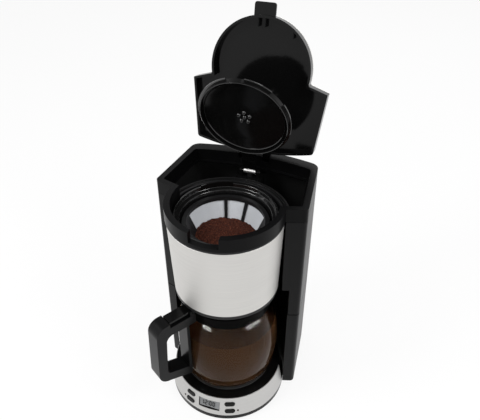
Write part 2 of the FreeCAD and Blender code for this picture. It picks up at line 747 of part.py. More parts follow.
keep(cut("top_frame", frame_block, opening_high, opening_low, opening_drum, notch, frame_bore,
         slope_tool("frame_slope", 0.0), *slots), "top_frame")
keep(cylinder("lid_hinge_pin", d.hinge_pin, pin_half * 2 - 0.4, -pin_half + 0.2, d.hinge_back,
              d.hinge_height, "x"), "lid_hinge_pin")
gland_tube = cylinder("gland_tube", 7.0, 16.0, 0.0, d.back_middle - 10.0, gland_z, "y")
gland_flange = cylinder("gland_flange", 10.0, 5.0, 0.0, d.back_middle + 0.2, gland_z, "y")
gland_bore = cylinder("gland_bore", 3.6, 30.0, 0.0, d.back_middle - 14.0, gland_z, "y")
keep(cut("cord_gland", fuse("gland_solid", gland_tube, gland_flange), gland_bore), "cord_gland")


# Lid: steel skin over a black frame, modelled closed and then swung open
def lid_solid(name, side, lowered, bottom):
    """The lid's plan at a side inset, with the sloping top lowered by some amount."""
    top = d.top_height - lowered
    rear = prism(name + "_rear", lid_plan, side, bottom, top)
    front = cylinder(name + "_front", d.rim_radius - side, top - bottom, z=bottom)
    return cut(name, fuse(name + "_whole", rear, front), slope_tool(name + "_slope", lowered))


def swing(obj, angle, back, height):
    """Turns a finished piece up about a hinge along X."""
    pivot = V(0, back.value, height.value)
    obj.Placement = FreeCAD.Placement(V(0, 0, 0), Rotation(V(1, 0, 0), -angle.value), pivot)
    return obj


skin_closed = cut("skin_closed", lid_solid("lid_full", lid_side, 0.0, d.lid_bottom),
                  lid_solid("lid_below_skin", lid_side, d.lid_skin, d.lid_bottom - 1.0))
keep(swing(skin_closed, d.lid_open, d.hinge_back, d.hinge_height), "lid_skin")
roof = d.lid_skin + d.lid_roof
lid_core = lid_solid("lid_core", lid_side, d.lid_skin + 0.05, d.lid_bottom)
lid_pocket = lid_solid("lid_pocket", lid_side + d.lid_wall, roof, d.lid_bottom - 1.0)
tab = box("lid_tab", (-d.tab_half_width, -d.tab_reach, d.notch_floor + 0.7),
          (d.tab_half_width, -d.rim_radius + lid_side + 4.0, d.notch_floor + 3.2))
arm_front = d.back_middle - d.hinge_ledge - lid_side - 2.5
arms = []
for side, x in (("left", -d.arm_outer), ("right", d.arm_inner)):
    wide_arm = d.arm_outer - d.arm_inner
    arms.append(box("arm_%s_bar" % side, (x, arm_front, d.hinge_height - arm_radius),
                    (x + wide_arm, d.hinge_back, d.hinge_height)))
    arms.append(cylinder("arm_%s_eye" % side, arm_radius, wide_arm, x, d.hinge_back, d.hinge_height, "x"))
arm_bore = cylinder("arm_bore", d.hinge_pin + d.pin_gap, 120.0, -60.0, d.hinge_back, d.hinge_height, "x")
lid_hollow = cut("lid_hollow", lid_core, lid_pocket)
lid_closed = cut("lid_closed", fuse("lid_solid", lid_hollow, tab, *arms), arm_bore)
keep(swing(lid_closed, d.lid_open, d.hinge_back, d.hinge_height), "lid_frame")

# Water spreader: a dished disc on an arm, hinged on the tower
rim_bottom = d.spreader_top - d.spreader_rim
plate_bottom = d.spreader_top - d.spreader_plate
disc = revolve("spreader_dish", [
    (0.0, plate_bottom),
    (d.spreader_radius - 2.0, plate_bottom),
    (d.spreader_radius - 2.0, rim_bottom),
    (d.spreader_radius, rim_bottom),
    (d.spreader_radius, d.spreader_top),
    (0.0, d.spreader_top),
])
arm_bar = box("spreader_bar", (-d.spreader_half_arm, d.spreader_radius - 6.0, plate_bottom),
              (d.spreader_half_arm, d.riser_back, d.spreader_top + 1.0))
barrel = cylinder("spreader_barrel", lug_radius - 0.6, d.spreader_half_arm * 2, -d.spreader_half_arm,
                  d.riser_back, d.spreader_height, "x")
barrel_bore = cylinder("spreader_bore", d.spreader_pin + d.pin_gap, 60.0, -30.0, d.riser_back,
                       d.spreader_height, "x")
drops = [cylinder("drop_0", 1.6, 10.0, z=plate_bottom - 4.0)]
for n in range(5):
    turn = math.radians(-90.0 + 72.0 * n)
    drops.append(cylinder("drop_%d" % (n + 1), 1.6, 10.0, 7.5 * math.cos(turn), 7.5 * math.sin(turn),
                          plate_bottom - 4.0))
spreader_closed = cut("spreader_closed", fuse("spreader_solid", disc, arm_bar, barrel), barrel_bore, *drops)
keep(swing(spreader_closed, d.spreader_open, d.riser_back, d.spreader_height), "spreader")

# Brew basket: flanged funnel with a valve chamber at its foot
shoulder = d.basket_seat + 1.5
step_radius = d.filter_radius + 2.5
under_step = d.filter_radius - 1.8
w = d.basket_wall
funnel_top = d.filter_foot + 8.0
funnel_foot = d.chamber_floor + 8.0
keep(revolve("brew_basket", [
    (d.basket_radius - w, d.basket_top),
    (d.basket_radius - w, shoulder + 1.5),
    (step_radius + 0.5, shoulder),
    (step_radius, d.filter_seat - 0.2),
    (under_step, d.filter_seat - 0.2),
    (under_step - 1.5, funnel_top),
    (d.chamber_radius, funnel_foot),
    (d.chamber_radius, d.chamber_floor),
    (d.stem_radius + d.stem_gap, d.chamber_floor),
    (d.stem_radius + d.stem_gap, d.basket_bottom),
    (d.chamber_radius + w, d.basket_bottom),
    (d.chamber_radius + w, funnel_foot - 1.0),
    (under_step - 1.5 + w, funnel_top - 1.0),
    (step_radius + w - 0.6, d.basket_seat),
    (d.basket_radius, d.basket_seat),
    (d.basket_radius, d.basket_top),
]), "brew_basket")
stem_foot = d.stem_radius + 3.5
stem_head = d.stem_radius + 4.5
keep(revolve("valve_stem", [
    (0.0, d.stem_tip),
    (stem_foot, d.stem_tip),
    (stem_foot, d.stem_tip + 2.0),
    (d.stem_radius, d.stem_tip + 2.0),
    (d.stem_radius, d.chamber_floor + 1.6),
    (stem_head, d.chamber_floor + 1.6),
    (stem_head, d.chamber_floor + 3.6),
    (0.0, d.chamber_floor + 3.6),
]), "valve_stem")
seal_inner = d.stem_radius + 0.05
keep(revolve("valve_seal", [
    (seal_inner, d.chamber_floor + 0.1),
    (stem_head - 0.5, d.chamber_floor + 0.1),
    (stem_head - 0.5, d.chamber_floor + 1.55),
    (seal_inner, d.chamber_floor + 1.55),
]), "valve_seal")
spring_low = d.stem_tip.value + 2.0 + 0.6
spring_high = d.basket_bottom.value - 0.6
spring_radius = d.stem_radius.value + 1.8
coil = Part.makeHelix((spring_high - spring_low) / 4.0, spring_high - spring_low, spring_radius)
start_ring = Part.Wire(Part.makeCircle(0.45, V(spring_radius, 0, 0), V(0, 1, 0)))
spring = doc.addObject("Part::Feature", "valve_spring")
spring.Shape = Part.Wire(coil).makePipeShell([start_ring], True, True)
spring.Placement = FreeCAD.Placement(V(0, 0, spring_low), Rotation())
keep(spring, "valve_spring")

# Permanent filter: ring with wide and narrow ribs over a cone of mesh
mesh_top = d.filter_seat - 0.05
mesh_radius = d.filter_radius - 3.5
keep(revolve("filter_mesh", [
    (mesh_radius, mesh_top),
    (d.filter_foot_radius, d.filter_foot),
    (0.0, d.filter_foot),
    (0.0, d.filter_foot + d.mesh_sheet),
    (d.filter_foot_radius - d.mesh_sheet, d.filter_foot + d.mesh_sheet),
    (mesh_radius - d.mesh_sheet, mesh_top),
]), "filter_mesh")
rib_out = mesh_radius - d.mesh_sheet - 0.1
foot_out = d.filter_foot_radius - d.mesh_sheet - 0.1
foot_up = d.filter_foot + d.mesh_sheet + 0.05
filter_ring = revolve("filter_ring", [
    (rib_out - d.rib_sheet, d.filter_seat),
    (d.filter_radius, d.filter_seat),
    (d.filter_radius, d.filter_top),
    (rib_out - d.rib_sheet, d.filter_top),
])
foot_ring = revolve("filter_foot_ring", [
    (foot_out - 4.0, foot_up),
    (foot_out, foot_up),
    (foot_out, foot_up + 1.5),
    (foot_out - 4.0, foot_up + 1.5),
])
WIDE_RIB = 30.0
NARROW_RIB = 5.6
ribs = []
for n, (facing, sweep) in enumerate(((-74.0, WIDE_RIB), (106.0, WIDE_RIB), (-160.0, NARROW_RIB),
                                     (167.0, NARROW_RIB), (20.0, NARROW_RIB), (-13.0, NARROW_RIB))):
    ribs.append(revolve("filter_rib_%d" % n, [
        (rib_out, d.filter_seat),
        (rib_out, d.filter_seat + 1.0),
        (rib_out - d.rib_sheet, d.filter_seat + 1.0),
        (foot_out - d.rib_sheet, foot_up),
        (foot_out, foot_up),
    ], sweep, facing))
keep(fuse("filter_frame", filter_ring, foot_ring, *ribs), "filter_frame")

# Glass jug: pot, collar, handle, lid and the lid's pin
jug_bottom = d.plate_top + d.jug_gap
g = d.glass_wall
heel_z = jug_bottom + 14.0
heel_r = d.jug_belly_radius - 3.8
shoulder_r = d.jug_neck_radius + d.shoulder_out
shoulder_z = d.jug_neck - d.shoulder_drop
crown_r = d.jug_neck_radius + d.crown_out
crown_z = d.jug_neck - d.crown_drop
# The glass is one piece, modelled as its wall and its flat floor
floor_edge = d.jug_foot_radius - 1.0
keep(revolve("jug_glass", [
    (floor_edge, jug_bottom),
    (d.jug_foot_radius, jug_bottom),
    (heel_r, heel_z, d.jug_foot_radius + 8.0, jug_bottom + 3.9),
    (shoulder_r, shoulder_z, d.jug_belly_radius, d.jug_belly + 6.0),
    (d.jug_neck_radius, d.jug_neck, crown_r, crown_z),
    (d.jug_neck_radius, d.jug_top),
    (d.jug_neck_radius - g, d.jug_top),
    (d.jug_neck_radius - g, d.jug_neck),
    (shoulder_r - g, shoulder_z, crown_r - g, crown_z),
    (heel_r - g, heel_z, d.jug_belly_radius - g, d.jug_belly + 6.0),
    (floor_edge, jug_bottom + g, d.jug_foot_radius + 6.2, jug_bottom + 5.5),
]), "jug_glass")
keep(cylinder("jug_floor", floor_edge - d.floor_gap, g, z=jug_bottom), "jug_floor")
collar_bottom = d.jug_neck + 0.2
keep(revolve("jug_collar", [
    (d.jug_neck_radius + d.fit_gap, collar_bottom),
    (d.collar_radius, collar_bottom),
    (d.collar_radius, d.collar_top),
    (d.jug_neck_radius - g, d.collar_top),
    (d.jug_neck_radius - g, d.jug_top + d.fit_gap),
    (d.jug_neck_radius + d.fit_gap, d.jug_top + d.fit_gap),
]), "jug_collar")
arm_top = d.collar_top - 3.0
grip = d.handle_reach
low = d.handle_bottom
handle_block = plate("handle_block", [
    (d.jug_neck_radius - 4.0, arm_top),
    (d.lever_reach + 1.0, arm_top),
    (d.lever_reach + 1.0, d.handle_top),
    (grip - 20.0, d.handle_top),
    (grip - 3.0, d.handle_top - 15.0, grip - 7.2, d.handle_top - 5.0),
    (grip, low + 20.0),
    (grip - 16.0, low, grip - 5.5, low + 5.5),
    (grip - 49.0, low - 12.0),
    (d.jug_neck_radius - 4.0, low - 12.0),
], d.handle_width, d.handle_angle)
strap_inner = d.jug_belly_radius + 0.3
strap_outer = strap_inner + d.strap_thick
arm_bottom = arm_top - d.arm_deep
handle_window = plate("handle_window", [
    (strap_outer, arm_bottom),
    (grip - 28.0, arm_bottom + 1.0),
    (grip - 17.0, arm_bottom - 10.0, grip - 20.0, arm_bottom - 2.0),
    (grip - 14.0, low + 24.0),
    (grip - 20.0, low + 14.0, grip - 15.5, low + 17.0),
    (strap_outer, low + 4.0),
], d.handle_width + 4.0, d.handle_angle)
jug_space = revolve("jug_space", [
    (0.0, jug_bottom),
    (strap_inner, jug_bottom),
    (strap_inner, arm_bottom),
    (d.collar_radius + d.fit_gap, arm_bottom),
    (d.collar_radius + d.fit_gap, d.handle_top + 5.0),
    (0.0, d.handle_top + 5.0),
])
handle_turn = FreeCAD.Placement(V(0, 0, 0), Rotation(V(0, 0, 1), d.handle_angle.value - 90.0))
ear_low = d.lever_half_width + 0.3
ear_high = d.handle_width / 2
ears = []
for side, y in (("left", -ear_high), ("right", ear_low)):
    ears.append(box("ear_" + side, (d.jug_hinge_reach - 3.2, y, arm_top - 1.0),
                    (d.jug_hinge_reach + 3.2, y + ear_high - ear_low, d.jug_hinge_height + 3.0), handle_turn))
ear_bore = cylinder("ear_bore", 1.22, d.handle_width + 4.0, d.jug_hinge_reach, -ear_high - 2.0,
                    d.jug_hinge_height, "y", handle_turn)
screw_z = arm_top - 8.0
screw_hole = cylinder("screw_hole", 2.1, 36.0, d.collar_radius - 10.0, 0.0, screw_z, "x", handle_turn)
handle_solid = fuse("handle_solid", cut("handle_open", handle_block, handle_window, jug_space), *ears)
keep(cut("jug_handle", handle_solid, ear_bore, screw_hole), "jug_handle")
keep(cylinder("handle_screw", 2.0, 24.0, d.collar_radius + 0.3, 0.0, screw_z, "x", handle_turn),
     "handle_screw")
lid_plug = d.jug_neck_radius - g - 0.5
lid_seat = d.collar_top + 0.2
jug_cap = revolve("jug_cap", [
    (5.0, d.jug_top + 1.0),
    (lid_plug, d.jug_top + 1.0),
    (lid_plug, lid_seat),
    (d.collar_radius - 1.0, lid_seat),
    (d.collar_radius - 1.0, lid_seat + 1.4),
    (d.collar_radius - 3.0, d.jug_lid_top),
    (d.collar_radius - 14.0, d.jug_lid_top),
    (18.0, d.jug_lid_top - 3.0),
    (5.0, d.jug_lid_top - 3.6),
])
lever = box("jug_lever", (d.collar_radius - 8.0, -d.lever_half_width, lid_seat),
            (d.lever_reach, d.lever_half_width, lid_seat + 3.4), handle_turn)
lever_bore = cylinder("lever_bore", d.pin_gap + 1.2, 40.0, d.jug_hinge_reach, -20.0,
                      d.jug_hinge_height, "y", handle_turn)
keep(cut("jug_lid", fuse("jug_lid_solid", jug_cap, lever), lever_bore), "jug_lid")
keep(cylinder("jug_lid_pin", 1.2, d.handle_width - 0.4, d.jug_hinge_reach, -ear_high + 0.2,
              d.jug_hinge_height, "y", handle_turn), "jug_lid_pin")

# Every object has to be sound before a piece is written
doc.recompute()
faults = [o.Name for o in doc.Objects if "Invalid" in o.State or "Error" in o.State]
for node in NODES:
    if node.Shape.isNull() or not node.Shape.isValid() or node.Shape.Volume <= 0.0:
        faults.append(node.Label)
if faults:
    raise RuntimeError("unsound objects: " + ", ".join(faults))
os.makedirs("parts", exist_ok=True)
for node in NODES:
    node.Shape.exportStep("parts/%s.step" % node.Label)
    print("%-20s solids %d volume %10.1f" % (node.Label, len(node.Shape.Solids), node.Shape.Volume))
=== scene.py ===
"""Drip coffee maker seen open, with its jug in place: finishes, detail pieces, studio and camera."""
import json
import logging
import math
from contextlib import contextmanager
from dataclasses import dataclass
from enum import Enum
from typing import Any, Callable, ClassVar, Iterable, Iterator

import bmesh
import bpy
import numpy as np
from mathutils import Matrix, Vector


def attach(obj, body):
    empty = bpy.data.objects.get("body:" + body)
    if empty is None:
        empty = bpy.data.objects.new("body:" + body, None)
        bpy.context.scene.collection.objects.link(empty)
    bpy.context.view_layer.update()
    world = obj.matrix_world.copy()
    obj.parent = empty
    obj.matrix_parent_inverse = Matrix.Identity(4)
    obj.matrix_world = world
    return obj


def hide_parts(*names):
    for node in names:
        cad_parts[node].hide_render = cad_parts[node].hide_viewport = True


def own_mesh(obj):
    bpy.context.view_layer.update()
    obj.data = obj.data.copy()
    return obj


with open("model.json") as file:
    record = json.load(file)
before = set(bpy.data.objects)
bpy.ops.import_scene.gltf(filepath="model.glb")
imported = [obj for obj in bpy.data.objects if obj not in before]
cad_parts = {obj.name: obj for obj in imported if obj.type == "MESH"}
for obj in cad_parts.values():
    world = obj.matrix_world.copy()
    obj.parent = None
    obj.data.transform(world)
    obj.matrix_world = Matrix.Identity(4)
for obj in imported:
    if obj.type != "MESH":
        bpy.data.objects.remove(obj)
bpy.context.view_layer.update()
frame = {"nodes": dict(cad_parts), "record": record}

MM = 0.001
MERGE = 0.001 * MM
NODE_MERGE = 0.002 * MM
FLATNESS = 0.6
SMOOTH_BELOW = 32.0
ROUND_ABOVE = 38.0
GRAIN_DEPTH = 0.2 * MM
WHITE = (1.0, 1.0, 1.0, 1.0)
LOG = logging.getLogger("coffee_maker")
Colour = tuple[float, float, float]
Point = tuple[float, float, float]
Spot = tuple[float, float]


class Sock:
    """A shader value that can be used in Python arithmetic."""

    def __init__(self, graph: "Graph", socket: bpy.types.NodeSocket) -> None:
        """Keeps the graph and the output socket."""
        self.graph = graph
        self.socket = socket

    def _math(self, operation: str, first: Any, second: Any) -> "Sock":
        """Adds one Math node and returns its result."""
        return self.graph.add("ShaderNodeMath", {"operation": operation}, {0: first, 1: second})

    def __add__(self, other: Any) -> "Sock":
        """Sum."""
        return self._math("ADD", self, other)

    def __radd__(self, other: Any) -> "Sock":
        """Sum with the number first."""
        return self._math("ADD", other, self)

    def __sub__(self, other: Any) -> "Sock":
        """Difference."""
        return self._math("SUBTRACT", self, other)

    def __rsub__(self, other: Any) -> "Sock":
        """Difference with the number first."""
        return self._math("SUBTRACT", other, self)

    def __mul__(self, other: Any) -> "Sock":
        """Product."""
        return self._math("MULTIPLY", self, other)

    def __rmul__(self, other: Any) -> "Sock":
        """Product with the number first."""
        return self._math("MULTIPLY", other, self)

    def largest(self, other: Any) -> "Sock":
        """The larger of the two values."""
        return self._math("MAXIMUM", self, other)

    def beside(self, name: str) -> "Sock":
        """Another output of the same node."""
        return Sock(self.graph, self.socket.node.outputs[name])


class Graph:
    """The node tree of a material or a world, with one way of adding nodes."""

    def __init__(self, owner: bpy.types.Material | bpy.types.World, ending: str) -> None:
        """Empties the tree and adds its output.

        Args:
            owner: The material or world that the tree belongs to.
            ending: The type of its output node.
        """
        owner.use_nodes = True
        self.owner = owner
        self.tree = owner.node_tree
        self.tree.nodes.clear()
        self.output = self.node(ending)

    @classmethod
    def of_material(cls, name: str) -> "Graph":
        """An empty graph on a new material."""
        return cls(bpy.data.materials.new(name), "ShaderNodeOutputMaterial")

    def node(self, kind: str, settings: dict[str, Any] | None = None,
             sockets: dict[Any, Any] | None = None) -> bpy.types.Node:
        """Adds a node, sets it up and links it.

        Args:
            kind: The node's type.
            settings: Attributes that are set first; "stops" holds a ramp's positions and colours.
            sockets: Values or links by input name or number.

        Returns:
            The new node.
        """
        node = self.tree.nodes.new(kind)
        for key, value in (settings or {}).items():
            if key == "stops":
                self._set_stops(node, value)
            else:
                setattr(node, key, value)
        for key, value in (sockets or {}).items():
            if isinstance(value, Sock):
                self.tree.links.new(value.socket, node.inputs[key])
            else:
                node.inputs[key].default_value = value
        return node

    def add(self, kind: str, settings: dict[str, Any] | None = None,
            sockets: dict[Any, Any] | None = None, out: int | str = 0) -> Sock:
        """Adds a node as above and returns one of its outputs."""
        return Sock(self, self.node(kind, settings, sockets).outputs[out])

    @staticmethod
    def _set_stops(node: bpy.types.Node, stops: Iterable[tuple[float, Colour]]) -> None:
        """Gives a colour ramp its stops.

        Args:
            node: The ramp's node.
            stops: Positions and colours; the first two take the stops that a new ramp has.
        """
        ramp = node.color_ramp
        for n, (place, colour) in enumerate(stops):
            stop = ramp.elements[n] if n < 2 else ramp.elements.new(place)
            stop.position = place
            stop.color = (*colour, 1.0)

    def object_coordinates(self, scale: Point = (1.0, 1.0, 1.0)) -> Sock:
        """The piece's own coordinates, stretched by a scale along each axis."""
        place = self.add("ShaderNodeTexCoord", out="Object")
        return self.add("ShaderNodeMapping", {}, {"Vector": place, "Scale": scale})

    def noise(self, vector: Sock, scale: float, detail: float) -> Sock:
        """Noise between nought and one."""
        return self.add("ShaderNodeTexNoise", {}, {"Vector": vector, "Scale": scale, "Detail": detail})

    def bump(self, height: Sock, strength: float, distance: float) -> Sock:
        """A normal bent by a height field."""
        return self.add("ShaderNodeBump", {}, {"Height": height, "Strength": strength, "Distance": distance})

    def tone(self, factor: Sock, dark: Colour, light: Colour) -> Sock:
        """A colour that runs from dark to light with a factor."""
        return self.add("ShaderNodeValToRGB", {"stops": [(0.0, dark), (1.0, light)]}, {0: factor})

    def close(self, shader: Sock) -> None:
        """Links a shader to the output."""
        self.tree.links.new(shader.socket, self.output.inputs["Surface"])

    def finish(self, sockets: dict[str, Any]) -> bpy.types.Material:
        """Closes the tree with the main shader, whose inputs get these values or links."""
        self.close(self.add("ShaderNodeBsdfPrincipled", {}, sockets))
        return self.owner


class Grain(Enum):
    """The way a sheet is brushed."""

    ROUND = (14.0, 14.0, 1500.0)
    ACROSS = (9.0, 900.0, 900.0)


def shade(colour: Colour, by: float) -> Colour:
    """A colour made lighter or darker by a factor."""
    return tuple(min(1.0, c * by) for c in colour)


@dataclass(frozen=True)
class BrushedSteel:
    """Sheet steel with fine scratches that all run one way."""

    name: str
    grain: Grain
    colour: Colour
    roughness: float = 0.46
    spread: float = 0.16
    dark: float = 0.86
    light: float = 1.1

    def material(self) -> bpy.types.Material:
        """Builds the finish; the scratches are noise drawn out along the grain.

        Returns:
            The finished material.
        """
        g = Graph.of_material(self.name)
        scratch = g.noise(g.object_coordinates(self.grain.value), 1.0, 4.0)
        return g.finish({
            "Base Color": g.tone(scratch, shade(self.colour, self.dark), shade(self.colour, self.light)),
            "Metallic": 1.0,
            "Roughness": scratch * self.spread + (self.roughness - self.spread / 2),
            "Normal": g.bump(scratch, 0.10, GRAIN_DEPTH),
        })


@dataclass(frozen=True)
class Moulded:
    """Moulded plastic, rubber or a coat, from satin to glossy."""

    name: str
    colour: Colour
    roughness: float
    grain: float = 1400.0
    depth: float = 0.06
    metallic: float = 0.0
    specular: float = 0.5
    wear: float = 24.0
    spread: float = 0.06
    dark: float = 0.88
    light: float = 1.12

    def material(self) -> bpy.types.Material:
        """Builds the finish: fine moulding grain, with broad faint wear in the gloss.

        Returns:
            The finished material.
        """
        g = Graph.of_material(self.name)
        place = g.object_coordinates()
        fine = g.noise(place, self.grain, 2.0)
        broad = g.noise(place, self.wear, 2.0)
        return g.finish({
            "Base Color": g.tone(broad, shade(self.colour, self.dark), shade(self.colour, self.light)),
            "Metallic": self.metallic,
            "Roughness": fine * self.spread + broad * self.spread + (self.roughness - self.spread),
            "Specular IOR Level": self.specular,
            "Normal": g.bump(fine, self.depth, GRAIN_DEPTH),
        })


@dataclass(frozen=True)
class Clear:
    """Clear glass."""

    name: str
    colour: Colour
    index: float
    roughness: float
    streaks: Point = (30.0, 30.0, 90.0)
    spread: float = 0.02
    dark: float = 0.97

    def material(self) -> bpy.types.Material:
        """Builds a see-through finish with barely visible streaks in its gloss.

        Returns:
            The finished material.
        """
        g = Graph.of_material(self.name)
        streak = g.noise(g.object_coordinates(self.streaks), 1.0, 2.0)
        return g.finish({
            "Base Color": g.tone(streak, shade(self.colour, self.dark), self.colour),
            "Roughness": streak * self.spread + self.roughness,
            "IOR": self.index,
            "Transmission Weight": 1.0,
        })


@dataclass(frozen=True)
class Brew:
    """Black coffee behind glass: dark, with painted light making it a little paler near the top."""

    name: str
    deep: Colour
    pale: Colour
    low: float
    high: float
    clouds: float = 0.3
    cloud_scale: float = 35.0
    roughness: float = 0.06
    spread: float = 0.05
    index: float = 1.33
    specular: float = 0.04

    def material(self) -> bpy.types.Material:
        """Builds the finish: the tone rises with height, with slow clouds in it.

        Returns:
            The finished material.
        """
        g = Graph.of_material(self.name)
        place = g.object_coordinates()
        height = g.add("ShaderNodeSeparateXYZ", {}, {0: place}, "Z")
        # Painted light: the tone rises from deep to pale towards the coffee's top, standing in for light from
        # above.
        rise = (height - self.low) * (1.0 / (self.high - self.low))
        cloud = g.noise(place, self.cloud_scale, 2.0)
        return g.finish({
            "Base Color": g.tone(rise * (1.0 - self.clouds) + cloud * self.clouds, self.deep, self.pale),
            "Roughness": self.roughness + cloud * self.spread,
            "IOR": self.index,
            "Specular IOR Level": self.specular,
        })


@dataclass(frozen=True)
class WovenMesh:
    """Fine nylon mesh: pale threads with darker gaps."""

    name: str
    pitch: float = 1.1 * MM
    gap: Colour = (0.42, 0.44, 0.47)
    thread: Colour = (0.74, 0.76, 0.79)
    blotches: float = 0.4
    roughness: float = 0.62
    spread: float = 0.1

    def material(self) -> bpy.types.Material:
        """Builds the weave from two crossing waves, one round the cone and one up it.

        Returns:
            The finished material.
        """
        g = Graph.of_material(self.name)
        turns = 2.0 * math.pi / self.pitch
        sides = g.add("ShaderNodeTexCoord", out="UV")
        split = g.add("ShaderNodeSeparateXYZ", {}, {0: sides})
        across = g.add("ShaderNodeMath", {"operation": "SINE"}, {0: split * turns})
        along = g.add("ShaderNodeMath", {"operation": "SINE"}, {0: split.beside("Y") * turns})
        thread = (across * along) * 0.5 + 0.5
        blotch = g.noise(g.object_coordinates(), 60.0, 3.0)
        mix = thread * (1.0 - self.blotches) + blotch * self.blotches
        return g.finish({
            "Base Color": g.tone(mix, self.gap, self.thread),
            "Roughness": self.roughness + thread * self.spread,
            "Normal": g.bump(thread, 0.35, 0.3 * MM),
        })


@dataclass(frozen=True)
class GroundCoffee:
    """Moist ground coffee with lighter flecks."""

    name: str
    tones: tuple[tuple[float, Colour], ...] = (
        (0.25, (0.010, 0.0026, 0.0016)), (0.75, (0.14, 0.040, 0.020)), (0.52, (0.045, 0.0115, 0.0064)))
    crumb_scale: float = 900.0
    speck_scale: float = 520.0
    roughness: float = 0.85
    spread: float = 0.2
    specular: float = 0.15

    def material(self) -> bpy.types.Material:
        """Builds the finish from crumb cells and fine noise.

        Returns:
            The finished material.
        """
        g = Graph.of_material(self.name)
        place = g.object_coordinates()
        crumb = g.add("ShaderNodeTexVoronoi", {}, {"Vector": place, "Scale": self.crumb_scale})
        speck = g.noise(place, self.speck_scale, 5.0)
        mix = speck * 0.75 + crumb * 0.3
        return g.finish({
            "Base Color": g.add("ShaderNodeValToRGB", {"stops": self.tones}, {0: mix}),
            "Roughness": self.roughness - speck * self.spread,
            "Specular IOR Level": self.specular,
            "Normal": g.bump(mix, 0.9, 1.2 * MM),
        })


@dataclass(frozen=True)
class DisplayPanel:
    """Unlit grey liquid-crystal panel."""

    name: str
    dark: Colour = (0.17, 0.175, 0.18)
    light: Colour = (0.27, 0.28, 0.29)
    ripples: Point = (60.0, 60.0, 18.0)
    roughness: float = 0.14
    spread: float = 0.06

    def material(self) -> bpy.types.Material:
        """Builds the panel: grey with a faint ripple in its tone and gloss.

        Returns:
            The finished material.
        """
        g = Graph.of_material(self.name)
        ripple = g.noise(g.object_coordinates(self.ripples), 1.0, 2.0)
        return g.finish({
            "Base Color": g.tone(ripple, self.dark, self.light),
            "Roughness": self.roughness + ripple * self.spread,
        })


FINISHES = {
    "wrap": BrushedSteel("wrap_steel", Grain.ROUND, (0.69, 0.68, 0.66), 0.55),
    "ring": BrushedSteel("ring_steel", Grain.ROUND, (0.59, 0.585, 0.575)),
    # Painted light: the lid's brushed steel is painted lighter than the drum's, standing in for the light
    # that its upturned edges catch.
    "skin": BrushedSteel("skin_steel", Grain.ACROSS, (0.9, 0.89, 0.87), 0.5),
    "satin": Moulded("satin_black", (0.009, 0.009, 0.0095), 0.42, specular=0.25),
    "housing": Moulded("housing_black", (0.0045, 0.0045, 0.0047), 0.36, specular=0.12),
    "lining": Moulded("lid_lining", (0.003, 0.003, 0.003), 0.1, 500.0, 0.01, specular=0.2),
    "rim": Moulded("spreader_rim", (0.006, 0.006, 0.006), 0.12, 300.0, 0.01, specular=0.9),
    "key": Moulded("key_black", (0.004, 0.004, 0.004), 0.3, 900.0, 0.03, specular=0.15),
    "collar": Moulded("collar_black", (0.001, 0.001, 0.001), 0.3, 300.0, 0.01, specular=0.02),
    "top": Moulded("rim_black", (0.003, 0.003, 0.0032), 0.34, specular=0.08),
    "grip": Moulded("grip_black", (0.004, 0.004, 0.0042), 0.3, 700.0, 0.02, specular=0.14),
    "barrel": Moulded("hinge_barrel", (0.72, 0.71, 0.7), 0.4, 900.0, 0.03, metallic=1.0),
    "gloss": Moulded("gloss_black", (0.0035, 0.0035, 0.0035), 0.12, 300.0, 0.01, specular=0.14),
    "tank": Moulded("tank_black", (0.005, 0.005, 0.005), 0.55, 400.0, 0.02),
    "coat": Moulded("plate_coat", (0.01, 0.01, 0.01), 0.4, 2200.0, 0.1),
    "rubber": Moulded("rubber_black", (0.02, 0.02, 0.02), 0.8, 900.0, 0.1),
    "silicone": Moulded("silicone_white", (0.62, 0.6, 0.56), 0.5, 500.0, 0.03),
    "alloy": Moulded("cast_alloy", (0.62, 0.62, 0.63), 0.42, 700.0, 0.2, metallic=1.0),
    "pin": Moulded("bright_pin", (0.62, 0.61, 0.6), 0.2, 900.0, 0.03, metallic=1.0),
    "resin": Moulded("white_resin", (0.7, 0.69, 0.66), 0.5, 800.0, 0.05),
    "board": Moulded("board_green", (0.03, 0.16, 0.06), 0.45, 600.0, 0.1),
    "lamp": Moulded("lamp_dark", (0.03, 0.008, 0.006), 0.2, 600.0, 0.02),
    "digit": Moulded("digit_dark", (0.006, 0.0065, 0.007), 0.5, 900.0, 0.02),
    "glass": Clear("jug_clear", (0.95, 0.93, 0.90), 1.14, 0.0),
    "coffee": Brew("brewed_coffee", (0.012, 0.0055, 0.0022), (0.02, 0.0098, 0.0042), 0.048, 0.136),
    "mesh": WovenMesh("nylon_mesh"),
    "grounds": GroundCoffee("ground_coffee"),
    "panel": DisplayPanel("display_panel"),
}
MATERIALS = {key: finish.material() for key, finish in FINISHES.items()}


def arc_through(first: Spot, middle: Spot, last: Spot, count: int) -> np.ndarray:
    """Points on the circle through three points, evenly spaced by angle.

    Args:
        first: Start (radius, height).
        middle: A point between.
        last: End.
        count: How many points.

    Returns:
        An array of (radius, height) rows.
    """
    a, b, c = (np.array(p, float) for p in (first, middle, last))
    system = 2.0 * np.array([b - a, c - a])
    centre = np.linalg.solve(system, np.array([b @ b - a @ a, c @ c - a @ a]))
    angles = np.unwrap([math.atan2(*(p - centre)[::-1]) for p in (a, b, c)])
    sweep = np.linspace(angles[0], angles[2], count)
    radius = np.linalg.norm(a - centre)
    return centre + radius * np.c_[np.cos(sweep), np.sin(sweep)]


@contextmanager
def opened(mesh: bpy.types.Mesh) -> Iterator[bmesh.types.BMesh]:
    """Opens a mesh for editing and writes it back.

    Args:
        mesh: The mesh.

    Yields:
        Its form for editing.
    """
    form = bmesh.new()
    form.from_mesh(mesh)
    yield form
    form.to_mesh(mesh)
    form.free()


def new_object(name: str, data: bpy.types.ID) -> bpy.types.Object:
    """An object that is linked to the scene.

    Args:
        name: Its name.
        data: Its mesh, lamp or camera.

    Returns:
        The new object.
    """
    obj = bpy.data.objects.new(name, data)
    bpy.context.scene.collection.objects.link(obj)
    return obj


